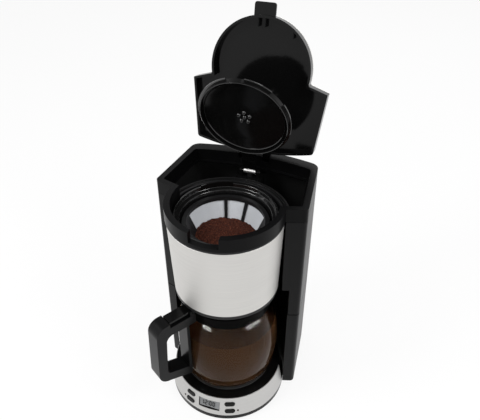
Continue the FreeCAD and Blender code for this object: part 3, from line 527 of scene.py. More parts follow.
def new_mesh(name: str, points: np.ndarray, faces: np.ndarray | list) -> bpy.types.Object:
    """A linked mesh object with merged doubles and outward faces.

    Args:
        name: The piece's name.
        points: Vertex rows.
        faces: Faces as rows of indices.

    Returns:
        The new object.
    """
    mesh = bpy.data.meshes.new(name)
    mesh.from_pydata(points.tolist(), [], [list(map(int, f)) for f in faces])
    with opened(mesh) as form:
        bmesh.ops.remove_doubles(form, verts=form.verts, dist=MERGE)
        bmesh.ops.recalc_face_normals(form, faces=form.faces)
    return new_object(name, mesh)


def smooth(obj: bpy.types.Object, angle: float = 35.0) -> None:
    """Smooth shading up to an edge angle in degrees."""
    obj.data.shade_smooth()
    obj.data.set_sharp_from_angle(angle=math.radians(angle))


def lathe(name: str, profile: np.ndarray, steps: int = 160, sweep: float = 360.0) -> bpy.types.Object:
    """A closed profile (radius, height) turned about the upright axis, centred on the front.

    Args:
        name: The piece's name.
        profile: Rows of radius and height, in metres.
        steps: Steps round the turn.
        sweep: Degrees turned; below 360 the ends are capped.

    Returns:
        The new object.
    """
    whole = sweep >= 360.0
    count = len(profile)
    rounds = steps if whole else steps + 1
    turn = np.radians(np.linspace(-sweep / 2, sweep / 2, steps + 1))[:rounds, None]
    radius, height = profile[:, 0][None, :], profile[:, 1][None, :]
    grid = np.stack([radius * np.sin(turn), -radius * np.cos(turn), height + 0.0 * turn], axis=-1)
    i, j = np.meshgrid(np.arange(steps), np.arange(count), indexing="ij")
    after_i, after_j = (i + 1) % rounds, (j + 1) % count
    here, after = i * count, after_i * count
    faces = np.stack([here + j, after + j, after + after_j, here + after_j], -1)
    faces = faces.reshape(-1, 4).tolist()
    if not whole:
        faces += [list(range(count)), list(range(steps * count, (steps + 1) * count))]
    obj = new_mesh(name, grid.reshape(-1, 3), faces)
    smooth(obj)
    return obj


def about_upright(points: np.ndarray, degrees: float) -> np.ndarray:
    """Points turned about the upright axis, counter-clockwise seen from above."""
    c, s = math.cos(math.radians(degrees)), math.sin(math.radians(degrees))
    return points @ np.array([[c, -s, 0.0], [s, c, 0.0], [0.0, 0.0, 1.0]]).T


def about_hinge(points: np.ndarray, back: float, height: float, degrees: float) -> np.ndarray:
    """Points lifted at the front about a hinge that runs from side to side.

    Args:
        points: Rows of the shut piece.
        back: The hinge's place from front to back.
        height: The hinge's height.
        degrees: How far it opens.

    Returns:
        Rows of the open piece.
    """
    c, s = math.cos(math.radians(-degrees)), math.sin(math.radians(-degrees))
    y, z = points[:, 1] - back, points[:, 2] - height
    return np.c_[points[:, 0], back + y * c - z * s, height + y * s + z * c]


def points_of(obj: bpy.types.Object) -> np.ndarray:
    """A piece's points.

    Args:
        obj: The piece.

    Returns:
        One row for each vertex.
    """
    points = np.zeros(len(obj.data.vertices) * 3)
    obj.data.vertices.foreach_get("co", points)
    return points.reshape(-1, 3)


def shift(obj: bpy.types.Object, move: Callable[[np.ndarray], np.ndarray]) -> None:
    """Moves a piece's points by a function that takes them all as rows and gives their new places."""
    obj.data.vertices.foreach_set("co", move(points_of(obj)).ravel())
    obj.data.update()


BLOCK = np.array([(0, 1, 2, 3), (7, 6, 5, 4), (0, 4, 5, 1), (1, 5, 6, 2), (2, 6, 7, 3), (3, 7, 4, 0)])


def block(low: Point, high: Point) -> np.ndarray:
    """The corners of an upright block.

    Args:
        low: Its lowest corner.
        high: Its highest corner.

    Returns:
        Eight rows, the lower four first.
    """
    (x0, y0, z0), (x1, y1, z1) = low, high
    ring = np.array([(x0, y0), (x1, y0), (x1, y1), (x0, y1)])
    return np.vstack([np.c_[ring, np.full(4, z0)], np.c_[ring, np.full(4, z1)]])


def new_blocks(name: str, corners: list[np.ndarray]) -> bpy.types.Object:
    """One mesh of several six-sided blocks, from eight rows for each in the order that block gives."""
    faces = np.vstack([BLOCK + 8 * n for n in range(len(corners))])
    return new_mesh(name, np.vstack(corners), faces)


def polar_uv(obj: bpy.types.Object, middle: float) -> None:
    """Gives a piece UVs in metres: the way round the upright axis, and the height.

    Args:
        obj: The piece.
        middle: Radius at which the way round is measured.
    """
    layer = obj.data.uv_layers.new(name="round_and_up")
    corners = np.zeros(len(obj.data.loops), int)
    obj.data.loops.foreach_get("vertex_index", corners)
    rows = points_of(obj)[corners]
    way = np.arctan2(rows[:, 0], -rows[:, 1]) * middle
    layer.data.foreach_set("uv", np.c_[way, rows[:, 2]].ravel())


def settle(obj: bpy.types.Object, finish: str, body: str, slot: str, *nodes: str) -> bpy.types.Object:
    """Dresses a new piece and ties it to its body.

    Args:
        obj: The piece.
        finish: Key of its finish.
        body: The body that it rides on.
        slot: The record's slot; not used.
        nodes: Nodes that it stands for.

    Returns:
        The piece.
    """
    obj.data.materials.clear()
    obj.data.materials.append(MATERIALS[finish])
    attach(obj, body)
    if nodes:
        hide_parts(*nodes)
    LOG.info("%s rides on %s", obj.name, body)
    return obj


BODY_OF = {node: body for body, nodes in frame["record"]["behaviour"]["bodies"].items() for node in nodes}
SLOT_OF = {row["node"]: row["material_slot"] for row in frame["record"]["subparts"]}


def merged_copy(node: str, flatness: float = 0.0) -> bpy.types.Object:
    """A copy of a node with its doubles merged.

    Args:
        node: The node.
        flatness: Angle in degrees below which neighbouring faces become one; nought leaves them.

    Returns:
        The copy as a new object.
    """
    mesh = frame["nodes"][node].data.copy()
    with opened(mesh) as form:
        bmesh.ops.remove_doubles(form, verts=form.verts, dist=NODE_MERGE)
        if flatness > 0.0:
            limit = math.radians(flatness)
            bmesh.ops.dissolve_limit(form, angle_limit=limit, verts=form.verts, edges=form.edges)
    return new_object(node + "_dressed", mesh)


def soften(node: str, finish: str, width: float, segments: int = 3) -> bpy.types.Object:
    """A copy of a node with its doubles merged and its edges rounded.

    Args:
        node: The node that the copy stands for.
        finish: Key of its finish.
        width: Width of the rounding, in metres.
        segments: Steps across the rounding.

    Returns:
        The new piece.
    """
    obj = merged_copy(node, FLATNESS)
    smooth(obj, SMOOTH_BELOW)
    edge = obj.modifiers.new("edge", "BEVEL")
    edge.width = width
    edge.segments = segments
    edge.limit_method = "ANGLE"
    edge.angle_limit = math.radians(ROUND_ABOVE)
    edge.use_clamp_overlap = True
    edge.harden_normals = True
    return settle(obj, finish, BODY_OF[node], SLOT_OF[node], node)


def paint(node: str, finish: str) -> None:
    """Gives a node that keeps its own shape its finish.

    Args:
        node: The node.
        finish: Key of its finish.
    """
    obj = frame["nodes"][node]
    obj.data.materials.clear()
    obj.data.materials.append(MATERIALS[finish])
    LOG.info("%s keeps its shape", node)


@dataclass
class Housing:
    """Column, rim and base: the black body of the machine."""

    column_round: float = 1.6 * MM
    rim_round: float = 1.3 * MM
    base_round: float = 1.2 * MM
    finishes: tuple[tuple[str, str], ...] = (
        ("base_cover", "satin"), ("cord_gland", "rubber"), ("foot_ring", "rubber"), ("rear_feet", "rubber"),
        ("cover_screws", "pin"), ("water_tank", "tank"), ("riser_tower", "gloss"), ("lid_hinge_pin", "pin"),
        ("spreader_pin", "barrel"))

    def build(self) -> None:
        """Rounds the body's edges and dresses it."""
        soften("column_upper", "housing", self.column_round)
        soften("column_lower", "housing", self.column_round)
        soften("top_frame", "top", self.rim_round)
        soften("base_shell", "gloss", self.base_round)
        for node, finish in self.finishes:
            paint(node, finish)


@dataclass
class Works:
    """Heater, hoses and electrics inside the body."""

    finishes: tuple[tuple[str, str], ...] = (
        ("heater", "alloy"), ("thermostat", "resin"), ("thermal_fuse", "resin"), ("inlet_hose", "silicone"),
        ("riser_hose", "silicone"), ("check_valve", "resin"), ("riser_pipe", "satin"),
        ("control_board", "board"), ("push_switches", "resin"), ("display_module", "resin"),
        ("valve_stem", "satin"), ("valve_seal", "silicone"), ("plate_seal", "rubber"),
        ("warming_plate", "coat"))
    valve_travel: float = 4.0 * MM
    coil_smooth: float = 60.0

    def build(self) -> None:
        """Dresses the inner pieces, which keep their shape, and adds a merged copy of the spring."""
        for node, finish in self.finishes:
            paint(node, finish)
        self.add_spring()

    def add_spring(self) -> None:
        """The drip stop's spring: a merged, smooth-shaded copy that rides on the spring's body."""
        node = "valve_spring"
        spring = merged_copy(node)
        smooth(spring, self.coil_smooth)
        settle(spring, "pin", BODY_OF[node], SLOT_OF[node], node)
        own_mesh(spring)


@dataclass
class Controls:
    """Steel ring with its display, buttons and lamps."""

    base_radius: float = 86.0 * MM
    top_radius: float = 80.0 * MM
    ring_low: float = 9.6 * MM
    ring_high: float = 42.0 * MM
    display_height: float = 26.0 * MM
    display_depth: float = 2.4 * MM
    digit_tall: float = 7.8 * MM
    digit_wide: float = 2.7 * MM
    digit_pitch: float = 5.2 * MM
    first_digit: float = -10.4 * MM
    stroke: float = 1.75 * MM
    join: float = 0.5
    dot_share: float = 0.7
    dot_back: float = 1.75 * MM
    dot_room: float = 1.5 * MM
    proud: float = 0.25 * MM
    sunk: float = 0.1 * MM
    reading: str = "12:00"
    window: Spot = (32.0 * MM, 17.0 * MM)
    # Painted shade: widths of the dark bars that stand for the recess's shadow, below and left, then above
    # and right.
    shadow_bands: Spot = (1.3 * MM, 0.4 * MM)
    ring_round: float = 0.35 * MM
    key_round: float = 0.9 * MM

    SEGMENTS: ClassVar[dict[str, str]] = {"0": "abcdef", "1": "bc", "2": "abged"}

    def build(self) -> None:
        """Rounds the ring and the buttons, and writes the clock's reading."""
        soften("control_ring", "ring", self.ring_round, 2)
        for node in sorted(BODY_OF):
            if node.startswith("button_"):
                soften(node, "key", self.key_round, 4)
        paint("indicator_lamps", "lamp")
        paint("display_window", "panel")
        self.add_painted_recess_shade()
        self.write_reading()

    def face(self, flat: np.ndarray, depth: float) -> np.ndarray:
        """Puts flat points on the leaning display: across and up its slope from its middle.

        Args:
            flat: Rows of across and up.
            depth: How far behind the ring's face they lie.

        Returns:
            Rows of places in space.
        """
        fall = math.atan2(self.base_radius - self.top_radius, self.ring_high - self.ring_low)
        share = (self.display_height - self.ring_low) / (self.ring_high - self.ring_low)
        radius = self.base_radius + (self.top_radius - self.base_radius) * share
        up = np.array([0.0, math.sin(fall), math.cos(fall)])
        into = np.array([0.0, math.cos(fall), -math.sin(fall)])
        spot = np.array([0.0, -radius, self.display_height]) + into * depth
        return spot + flat[:, :1] * np.array([1.0, 0.0, 0.0]) + flat[:, 1:] * up

    def bar(self, centre: Spot, wide: float, tall: float) -> np.ndarray:
        """A thin bar on the panel, proud of it and sunk into it a little.

        Args:
            centre: Its middle, across and up.
            wide: Its width.
            tall: Its height.

        Returns:
            Its eight corners.
        """
        x, z = wide / 2, tall / 2
        flat = np.array([(-x, -z), (x, -z), (x, z), (-x, z)]) + np.array(centre)
        front, back = self.display_depth - self.proud, self.display_depth + self.sunk
        return np.vstack([self.face(flat, front), self.face(flat, back)])

    def add_painted_recess_shade(self) -> None:
        """Painted shade of the display's recess: dark bars round the window, wide below and to the left,
        narrow above and to the right.
        """
        (wide, tall), (broad, slim) = self.window, self.shadow_bands
        x, z = wide / 2, tall / 2
        corners = [self.bar((-x + broad / 2, 0.0), broad, tall), self.bar((x - slim / 2, 0.0), slim, tall),
                   self.bar((0.0, -z + broad / 2), wide, broad), self.bar((0.0, z - slim / 2), wide, slim)]
        # These dark bars are painted shade, where the walls of the window's recess fall into shadow.
        settle(new_blocks("window_gasket", corners), "key", "machine", "black")

    def write_reading(self) -> None:
        """Draws the figures as seven-stroke digits and two dots."""
        w, h = self.digit_wide / 2, self.digit_tall / 2
        gap, dot = self.stroke * self.join, self.stroke * self.dot_share
        strokes = {"a": (0, h, 0), "g": (0, 0, 0), "d": (0, -h, 0), "b": (w, h / 2, 1), "c": (w, -h / 2, 1),
                   "e": (-w, -h / 2, 1), "f": (-w, h / 2, 1)}
        corners: list[np.ndarray] = []
        x = self.first_digit
        for figure in self.reading:
            if figure == ":":
                corners += [self.bar((x - self.dot_back, z), dot, dot) for z in (-h / 2, h / 2)]
                x += self.dot_room
                continue
            for key in self.SEGMENTS[figure]:
                sx, sz, upright = strokes[key]
                long = (h if upright else 2 * w) - gap
                size = (self.stroke, long) if upright else (long, self.stroke)
                corners.append(self.bar((x + sx, sz), *size))
            x += self.digit_pitch
        settle(new_blocks("clock_figures", corners), "digit", "machine", "black")


@dataclass
class BrewHead:
    """Drum, basket, permanent filter and the ground coffee in it; the lugs' sizes are in millimetres."""

    wrap_low: Spot = (71.0 * MM, 203.1 * MM)
    wrap_high: Spot = (75.0 * MM, 311.9 * MM)
    wrap_sheet: float = 0.8 * MM
    wrap_lip: float = 0.25 * MM
    wrap_sweep: float = 196.0
    drum_round: float = 0.5 * MM
    basket_round: float = 0.7 * MM
    frame_round: float = 0.35 * MM
    mesh_round: float = 0.1 * MM
    weave_radius: float = 42.0 * MM
    heap_radius: float = 41.6 * MM
    heap_height: float = 277.5 * MM
    heap_rise: float = 3.2 * MM
    heap_swell: float = 1.1 * MM
    heap_depth: float = 7.0 * MM
    heap_foot: float = 0.93
    heap_smooth: float = 80.0
    crumbs: tuple[tuple[int, int, float], ...] = ((74, 7, 0.9 * MM), (26, 8, 1.0 * MM))
    lug_radii: Point = (61.7, 63.4, 63.7)
    lug_heights: Point = (314.0, 317.8, 321.7)
    lug_bevel: float = 0.5
    lugs: tuple[Spot, ...] = ((-149.0, 40.0), (38.0, 24.0))

    def build(self) -> None:
        """Makes the wrap, rounds the black pieces and fills the filter."""
        self.add_wrap()
        soften("drum_shell", "satin", self.drum_round)
        soften("brew_basket", "rim", self.basket_round)
        soften("filter_frame", "satin", self.frame_round, 2)
        polar_uv(soften("filter_mesh", "mesh", self.mesh_round, 1), self.weave_radius)
        self.fill_filter()
        self.add_basket_lugs()

    def add_wrap(self) -> None:
        """Steel sheet round the drum's front: a leaning strip with bevelled edges, turned part of the way."""
        (r0, z0), (r1, z1), sheet, lip = self.wrap_low, self.wrap_high, self.wrap_sheet, self.wrap_lip
        profile = np.array([(r0 - sheet, z0), (r0 - lip, z0), (r0, z0 + lip),
                            (r1, z1 - lip), (r1 - lip, z1), (r1 - sheet, z1)])
        settle(lathe("steel_wrap", profile, 140, self.wrap_sweep), "wrap", "machine", "steel", "drum_wrap")

    @staticmethod
    def crumb_height(flat: np.ndarray, cells: int, seed: int) -> np.ndarray:
        """Random heights on a square net, read between its knots in proportion to the distance.

        Args:
            flat: Places from -1 to 1 each way.
            cells: Cells of the net each way.
            seed: Start of the random draw.

        Returns:
            Heights from -1 to 1 at the places.
        """
        net = np.random.default_rng(seed).uniform(-1.0, 1.0, (cells + 2, cells + 2))
        spot = (flat + 1.0) * 0.5 * cells
        low = np.floor(spot).astype(int)
        part = spot - low
        i, j = low[..., 0], low[..., 1]
        a, b = part[..., 0], part[..., 1]
        near = net[i, j] * (1.0 - a) + net[i + 1, j] * a
        far = net[i, j + 1] * (1.0 - a) + net[i + 1, j + 1] * a
        return near * (1.0 - b) + far * b

    def fill_filter(self) -> None:
        """A heap with a crumbly top: a low dome plus random crumbs, closed underneath."""
        rings, spokes = 90, 260
        radius = np.linspace(0.0, 1.0, rings)[:, None]
        turn = np.linspace(0.0, 2.0 * math.pi, spokes, endpoint=False)[None, :]
        flat = np.stack([radius * np.cos(turn), radius * np.sin(turn)], -1)
        crumbs = sum(self.crumb_height(flat, cells, seed) * size for cells, seed, size in self.crumbs)
        swell = self.heap_swell * np.sin(2.0 * turn + 2.0) * radius ** 2
        height = self.heap_height + self.heap_rise * (1.0 - radius ** 2) + crumbs + swell
        reach = self.heap_radius * radius
        top = np.stack([reach * np.cos(turn), reach * np.sin(turn), height], -1)
        under = top[-1] * np.array([self.heap_foot, self.heap_foot, 0.0])
        under[:, 2] = self.heap_height - self.heap_depth
        points = np.vstack([top.reshape(-1, 3), under])
        i, j = np.meshgrid(np.arange(rings), np.arange(spokes), indexing="ij")
        after = (j + 1) % spokes
        here, next_ring = i * spokes, (i + 1) * spokes
        faces = np.stack([here + j, next_ring + j, next_ring + after, here + after], -1)
        faces = faces.reshape(-1, 4).tolist() + [list(range(rings * spokes, (rings + 1) * spokes))]
        heap = new_mesh("coffee_heap", points, faces)
        smooth(heap, self.heap_smooth)
        settle(heap, "grounds", "filter", "black")

    def add_basket_lugs(self) -> None:
        """Raised parts inside the basket's rim, clear of the shut lid: a long one, a short one opposite.

        Each is a strip with a step on its outer side and a bevelled top, turned part of the way.
        """
        (inner, upper, lower), (low, step, high), c = self.lug_radii, self.lug_heights, self.lug_bevel
        profile = np.array([(inner, low), (lower, low), (lower, step), (upper, step + lower - upper),
                            (upper, high - c), (upper - c, high), (inner + c, high), (inner, high - c)])
        for n, (facing, sweep) in enumerate(self.lugs):
            lug = lathe("basket_lug_%d" % n, profile * MM, 24, sweep)
            shift(lug, lambda points: about_upright(points, facing))
            settle(lug, "gloss", "basket", "gloss_black")


@dataclass
class LidAndSpreader:
    """Hinged lid and the hinged water spreader under it; sizes from the plate on are in millimetres."""

    lid_hinge: Spot = (121.0 * MM, 331.0 * MM)
    lid_open: float = 101.75
    spreader_hinge: Spot = (98.0 * MM, 319.0 * MM)
    spreader_open: float = 75.0
    skin_round: float = 0.8 * MM
    frame_round: float = 0.9 * MM
    spreader_round: float = 0.5 * MM
    corner_round: float = 3.6 * MM
    corner_angle: float = 25.0
    corner_edge: float = 0.6 * MM
    corner_upright: float = 0.999
    outline_side: float = 40.0 * MM
    outline_front: float = -80.0 * MM
    plate: float = 318.4
    rim: float = 313.4
    bead: Spot = (53.1, 0.5)
    bead_span: Spot = (0.1, -1.9)
    lip: Spot = (57.0, 0.4)
    lip_span: Spot = (0.3, -0.9)
    flange: Spot = (57.8, 61.0)
    flange_span: Spot = (3.4, 5.2)
    flange_bevel: float = 0.4
    flanges: tuple[Spot, ...] = ((-62.0, 88.0), (22.0, 34.0), (98.0, 76.0))
    nozzle: tuple[Spot, ...] = ((1.62, 0.1), (1.62, -0.9), (1.9, -1.2), (2.5, -0.5), (2.7, 0.1))
    hole_circle: float = 7.5
    hole_count: int = 5
    sleeve: Spot = (3.38, 3.7)
    sleeve_half: float = 8.5
    ribs: Spot = (-8.0, 1.0)
    rib_half: float = 0.7
    rib_run: Spot = (-63.9, -52.0)
    rib_span: Spot = (321.6, 329.6)
    clip_corner: Spot = (38.0, -49.5)
    clip_reach: Spot = (7.0, 7.5)
    clip_wall: float = 1.2
    clip_span: Spot = (322.3, 329.6)

    def build(self) -> None:
        """Rounds the lid and the spreader and adds their moulded detail."""
        self.round_outline(soften("lid_skin", "skin", self.skin_round))
        self.round_outline(soften("lid_frame", "lining", self.frame_round))
        soften("spreader", "gloss", self.spreader_round)
        self.add_lips()
        self.add_nozzles()
        self.add_clips()
        self.add_sleeve()

    def open_spreader(self, points: np.ndarray) -> np.ndarray:
        """Points of the shut spreader, opened."""
        return about_hinge(points, *self.spreader_hinge, self.spreader_open)

    def open_lid(self, points: np.ndarray) -> np.ndarray:
        """Points of the shut lid, opened."""
        return about_hinge(points, *self.lid_hinge, self.lid_open)

    def round_outline(self, piece: bpy.types.Object) -> None:
        """Rounds the corners of the lid's outline: its shoulders, its back and the tip of its tab.

        Args:
            piece: The lid's skin or frame, as it stands open.
        """
        tilt = math.radians(self.lid_open)
        along = Vector((0.0, math.sin(tilt), math.cos(tilt)))
        corners = []
        with opened(piece.data) as form:
            for edge in form.edges:
                first, second = (vert.co for vert in edge.verts)
                run = second - first
                middle = np.array([(first + second) * 0.5])
                x, y, _ = about_hinge(middle, *self.lid_hinge, -self.lid_open)[0]
                outline = abs(x) > self.outline_side or y < self.outline_front
                upright = abs(run.normalized().dot(along)) > self.corner_upright
                bent = edge.calc_face_angle(0.0) > math.radians(self.corner_angle)
                if outline and upright and bent and run.length > self.corner_edge:
                    corners.append(edge)
            bmesh.ops.bevel(form, geom=corners, offset=self.corner_round, offset_type="OFFSET", segments=5,
                            profile=0.5, affect="EDGES", clamp_overlap=True)
        smooth(piece, SMOOTH_BELOW)
        LOG.info("%s has %d rounded corners", piece.name, len(corners))

    @staticmethod
    def ridge(ring: Spot, level: float, span: Spot) -> np.ndarray:
        """Profile of a ring that hangs from a level, with straight sides that close to a point.

        Args:
            ring: Its middle radius and half its width.
            level: The height that it hangs from.
            span: Its foot and its tip, measured upwards from that level.

        Returns:
            Rows of radius and height, in metres.
        """
        (radius, half), (foot, tip) = ring, span
        side = level + tip + half
        return np.array([(radius - half, level + foot), (radius - half, side), (radius, level + tip),
                         (radius + half, side), (radius + half, level + foot)]) * MM

    def add_lips(self) -> None:
        """Bead inside the dish, a thin lip on its rim, and three bayonet flanges behind the rim."""
        for name, profile in {"spreader_bead": self.ridge(self.bead, self.plate, self.bead_span),
                              "spreader_lip": self.ridge(self.lip, self.rim, self.lip_span)}.items():
            ring = lathe(name, profile, 140)
            shift(ring, self.open_spreader)
            settle(ring, "rim", "spreader_body", "gloss_black")
        (inner, outer), c = self.flange, self.flange_bevel
        low, high = (self.rim + rise for rise in self.flange_span)
        flange = np.array([(inner, low), (outer - c, low), (outer, low + c),
                           (outer, high - c), (outer - c, high), (inner, high)])
        for n, (facing, sweep) in enumerate(self.flanges):
            part = lathe("spreader_flange_%d" % n, flange * MM, 60, sweep)
            shift(part, lambda points: self.open_spreader(about_upright(points, facing)))
            settle(part, "rim", "spreader_body", "gloss_black")

    def add_nozzles(self) -> None:
        """Small raised rings round the drip holes: one in the middle and five on a circle."""
        profile = (np.array(self.nozzle) + np.array([0.0, self.plate])) * MM
        turns = np.radians(-90.0 + 360.0 / self.hole_count * np.arange(self.hole_count))
        circle = self.hole_circle * MM * np.c_[np.cos(turns), np.sin(turns), 0.0 * turns]
        for n, spot in enumerate(np.vstack([np.zeros(3), circle])):
            nozzle = lathe("spreader_nozzle_%d" % n, profile, 28)
            shift(nozzle, lambda points: self.open_spreader(points + spot))
            settle(nozzle, "rim", "spreader_body", "gloss_black")

    def add_sleeve(self) -> None:
        """Bright sleeve round the spreader's hinge barrel."""
        (inner, outer), half = self.sleeve, self.sleeve_half
        profile = np.array([(inner, -half), (outer, -half), (outer, half), (inner, half)]) * MM
        sleeve = lathe("hinge_sleeve", profile, 48)
        back, height = self.spreader_hinge
        shift(sleeve, lambda points: np.c_[points[:, 2], back + points[:, 0], height + points[:, 1]])
        settle(sleeve, "barrel", "spreader_body", "pin_steel")

    def add_clips(self) -> None:
        """Two ribs by the lid's tab and one square clip to the right, inside the lid."""
        (front, back), (low, high) = self.rib_run, self.rib_span
        corners = [block((x - self.rib_half, front, low), (x + self.rib_half, back, high)) for x in self.ribs]
        (x, y), (across, along), (low, high) = self.clip_corner, self.clip_reach, self.clip_span
        corners += [block((x, y, low), (x + across, y + self.clip_wall, high)),
                    block((x, y, low), (x + self.clip_wall, y + along, high))]
        clips = new_blocks("lid_clips", [rows * MM for rows in corners])
        shift(clips, self.open_lid)
        settle(clips, "housing", "lid", "black")


@dataclass
class Jug:
    """Glass jug with its collar, handle and lid, and the coffee in it."""

    bottom: float = 46.3 * MM
    foot: float = 58.0 * MM
    foot_inset: float = 0.4
    bend: Spot = (8.0 * MM, 3.9 * MM)
    bend_inset: Spot = (0.72, 0.64)
    heel: Spot = (69.2 * MM, 60.3 * MM)
    belly: Spot = (73.0 * MM, 98.0 * MM)
    shoulder: Spot = (63.8 * MM, 160.0 * MM)
    crown: Spot = (61.5 * MM, 165.0 * MM)
    neck: Spot = (58.0 * MM, 169.0 * MM)
    top: float = 181.0 * MM
    wall: float = 2.5 * MM
    lip: float = 0.6 * MM
    glass_steps: int = 44
    level: float = 136.0 * MM
    film: float = 0.15 * MM
    edge_in: float = 0.3 * MM
    dip: float = 0.2 * MM
    coffee_steps: int = 60
    collar_round: float = 0.8 * MM
    grip_round: float = 3.2 * MM
    lid_round: float = 0.8 * MM

    def side(self, inset: float, count: int) -> np.ndarray:
        """The wall's profile from foot to neck: an arc round the heel, one up the belly, one into the neck.

        Args:
            inset: How far it is moved inwards.
            count: Points on the belly's arc; the other two have fewer.

        Returns:
            Rows of radius and height.
        """
        (out, up), (across, rise) = self.bend, self.bend_inset
        foot = (self.foot - inset * self.foot_inset, self.bottom + inset)
        bend = (self.foot + out - inset * across, self.bottom + up + inset * rise)
        knots = (self.heel, self.belly, self.shoulder, self.crown, self.neck)
        heel, belly, shoulder, crown, neck = ((radius - inset, height) for radius, height in knots)
        low = arc_through(foot, bend, heel, count // 2)
        high = arc_through(heel, belly, shoulder, count)
        close = arc_through(shoulder, crown, neck, count // 3)
        return np.vstack([low, high[1:], close[1:]])

    def build(self) -> None:
        """Makes the glass and the coffee, and rounds the black pieces."""
        self.add_glass()
        self.add_coffee()
        soften("jug_collar", "collar", self.collar_round)
        soften("jug_handle", "grip", self.grip_round, 4)
        soften("jug_lid", "gloss", self.lid_round)
        paint("handle_screw", "pin")
        paint("jug_lid_pin", "collar")

    def add_glass(self) -> None:
        """Wall and floor in one: the outer profile up, over the lip and the inner one down, turned round."""
        outside, inside = self.neck[0], self.neck[0] - self.wall
        outer = np.vstack([[(0.0, self.bottom)], self.side(0.0, self.glass_steps),
                           [(outside, self.top - self.lip), (outside - self.lip, self.top)]])
        inner = np.vstack([[(0.0, self.bottom + self.wall)], self.side(self.wall, self.glass_steps),
                           [(inside, self.top - self.lip), (inside + self.lip, self.top)]])
        glass = lathe("jug_glass_wall", np.vstack([outer, inner[::-1]]))
        settle(glass, "glass", "jug", "glass", "jug_glass", "jug_floor")

    def add_coffee(self) -> None:
        """Coffee up to its level: the inner profile, sunk a little into the glass, with a flat top."""
        wet = self.side(self.wall - self.film, self.coffee_steps)
        wet = wet[wet[:, 1] < self.level]
        brew = np.vstack([[(0.0, wet[0, 1])], wet,
                          [(wet[-1, 0] - self.edge_in, self.level), (0.0, self.level - self.dip)]])
        settle(lathe("brewed_coffee", brew), "coffee", "jug", "glass")


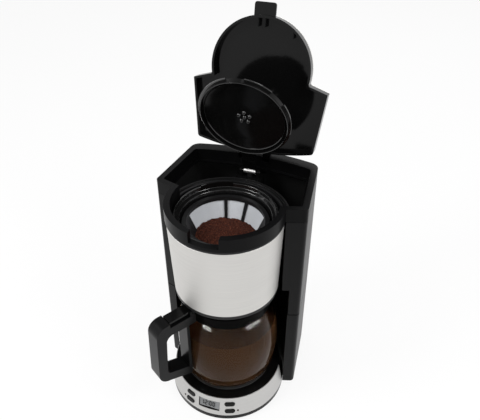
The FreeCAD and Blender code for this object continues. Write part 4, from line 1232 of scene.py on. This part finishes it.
@dataclass
class Studio:
    """White seamless studio, soft lamps and the camera of the photograph."""

    azimuth: float = 19.11
    elevation: float = 36.87
    distance: float = 754.31 * MM
    target: Point = (0.0, 55.5 * MM, 281.22 * MM)
    focal: float = 551.9
    picture_width: float = 480.0
    sensor: float = 36.0
    nearest: float = 0.05
    wall_band: Spot = (0.3, 0.9)
    ceiling: float = 0.08
    fill: float = 0.6
    floor_half: float = 6.0
    floor_drop: float = 0.2 * MM
    floor_shade: float = 0.9
    floor_glow: float = 0.86
    lamps: tuple[tuple[str, Point, float, float], ...] = (
        ("left_lamp", (-0.75, -0.55, 1.25), 0.42, 9.0), ("right_lamp", (0.95, -0.25, 1.2), 0.42, 7.0),
        ("back_lamp", (0.1, 1.5, 1.6), 1.2, 8.0))
    windows: tuple[tuple[str, Point], ...] = (
        ("left_window", (-0.56, -0.95, 0.33)), ("right_window", (1.05, -0.2, 0.33)))
    window_size: float = 0.6
    window_power: float = 110.0

    def build(self) -> None:
        """Sets the colour view, the floor, the lamps and the camera."""
        scene = bpy.context.scene
        scene.view_settings.view_transform = "Standard"
        self.make_world(scene)
        self.make_floor()
        for lamp in self.lamps:
            self.add_lamp(*lamp)
        for name, place in self.windows:
            window = self.add_lamp(name, place, self.window_size, self.window_power)
            self.light_only(window, "jug_glass_wall")
        self.make_camera(scene)

    def make_world(self, scene: bpy.types.Scene) -> None:
        """White walls to the camera and in reflections, a dim ceiling in reflections, softer as light.

        Args:
            scene: The scene that gets the world.
        """
        g = Graph(bpy.data.worlds.new("studio_world"), "ShaderNodeOutputWorld")
        scene.world = g.owner
        low, high = self.wall_band
        height = g.add("ShaderNodeSeparateXYZ", {}, {0: g.add("ShaderNodeTexCoord", out="Generated")}, "Z")
        walls = g.add("ShaderNodeMapRange", {}, {"Value": height, "From Min": low, "From Max": high,
                                                 "To Min": 1.0, "To Max": self.ceiling})
        strength = g.add("ShaderNodeMapRange", {},
                         {"Value": self.seen(g), "To Min": self.fill, "To Max": walls})
        g.close(g.add("ShaderNodeBackground", {}, {"Color": WHITE, "Strength": strength}))

    @staticmethod
    def seen(g: Graph) -> Sock:
        """One for camera, glossy and transmission rays, else nought."""
        ray = g.add("ShaderNodeLightPath", out="Is Camera Ray")
        return ray.largest(ray.beside("Is Glossy Ray")).largest(ray.beside("Is Transmission Ray"))

    def make_floor(self) -> None:
        """A wide pale floor that keeps the shadow and stays near white."""
        half, low, grey = self.floor_half, -self.floor_drop, self.floor_shade
        corners = np.array([(-half, -half, low), (half, -half, low), (half, half, low), (-half, half, low)])
        floor = new_mesh("studio_floor", corners, [[0, 1, 2, 3]])
        g = Graph.of_material("floor_white")
        matt = g.add("ShaderNodeBsdfDiffuse", {}, {"Color": (grey, grey, grey, 1.0)})
        glow = g.add("ShaderNodeEmission", {}, {"Color": WHITE, "Strength": 1.0})
        g.close(g.add("ShaderNodeMixShader", {}, {0: self.seen(g) * self.floor_glow, 1: matt, 2: glow}))
        floor.data.materials.append(g.owner)

    def add_lamp(self, name: str, place: Point, size: float, power: float) -> bpy.types.Object:
        """A large soft lamp aimed at the machine.

        Args:
            name: The lamp's name.
            place: Where it stands.
            size: Its width and height.
            power: Its power in watts.

        Returns:
            The lamp.
        """
        data = bpy.data.lights.new(name, "AREA")
        data.size = size
        data.energy = power
        lamp = new_object(name, data)
        lamp.location = place
        lamp.rotation_euler = (Vector(self.target) - Vector(place)).to_track_quat("-Z", "Y").to_euler()
        return lamp

    @staticmethod
    def light_only(lamp: bpy.types.Object, piece: str) -> None:
        """Keeps a lamp to the highlights of one piece.

        Args:
            lamp: The lamp.
            piece: Name of the piece.
        """
        lamp.visible_diffuse = False
        lamp.visible_transmission = False
        lit = bpy.data.collections.new(lamp.name + "_lit")
        lit.objects.link(bpy.data.objects[piece])
        lamp.light_linking.receiver_collection = lit

    def make_camera(self, scene: bpy.types.Scene) -> None:
        """The camera at the photograph's angle and distance.

        Args:
            scene: The scene that it is the camera of.
        """
        a, e = math.radians(self.azimuth), math.radians(self.elevation)
        back = Vector((math.sin(a) * math.cos(e), -math.cos(a) * math.cos(e), math.sin(e)))
        data = bpy.data.cameras.new("photo_camera")
        data.sensor_width = self.sensor
        data.lens = self.focal / self.picture_width * self.sensor
        data.clip_start = self.nearest
        camera = new_object("photo_camera", data)
        camera.location = Vector(self.target) + back * self.distance
        camera.rotation_euler = (-back).to_track_quat("-Z", "Y").to_euler()
        scene.camera = camera


def main() -> None:
    """Builds every sub-assembly, then the studio."""
    logging.basicConfig(level=logging.INFO)
    for part in (Housing(), Works(), Controls(), BrewHead(), LidAndSpreader(), Jug(), Studio()):
        part.build()
    bpy.context.view_layer.update()


if __name__ == "__main__":
    main()
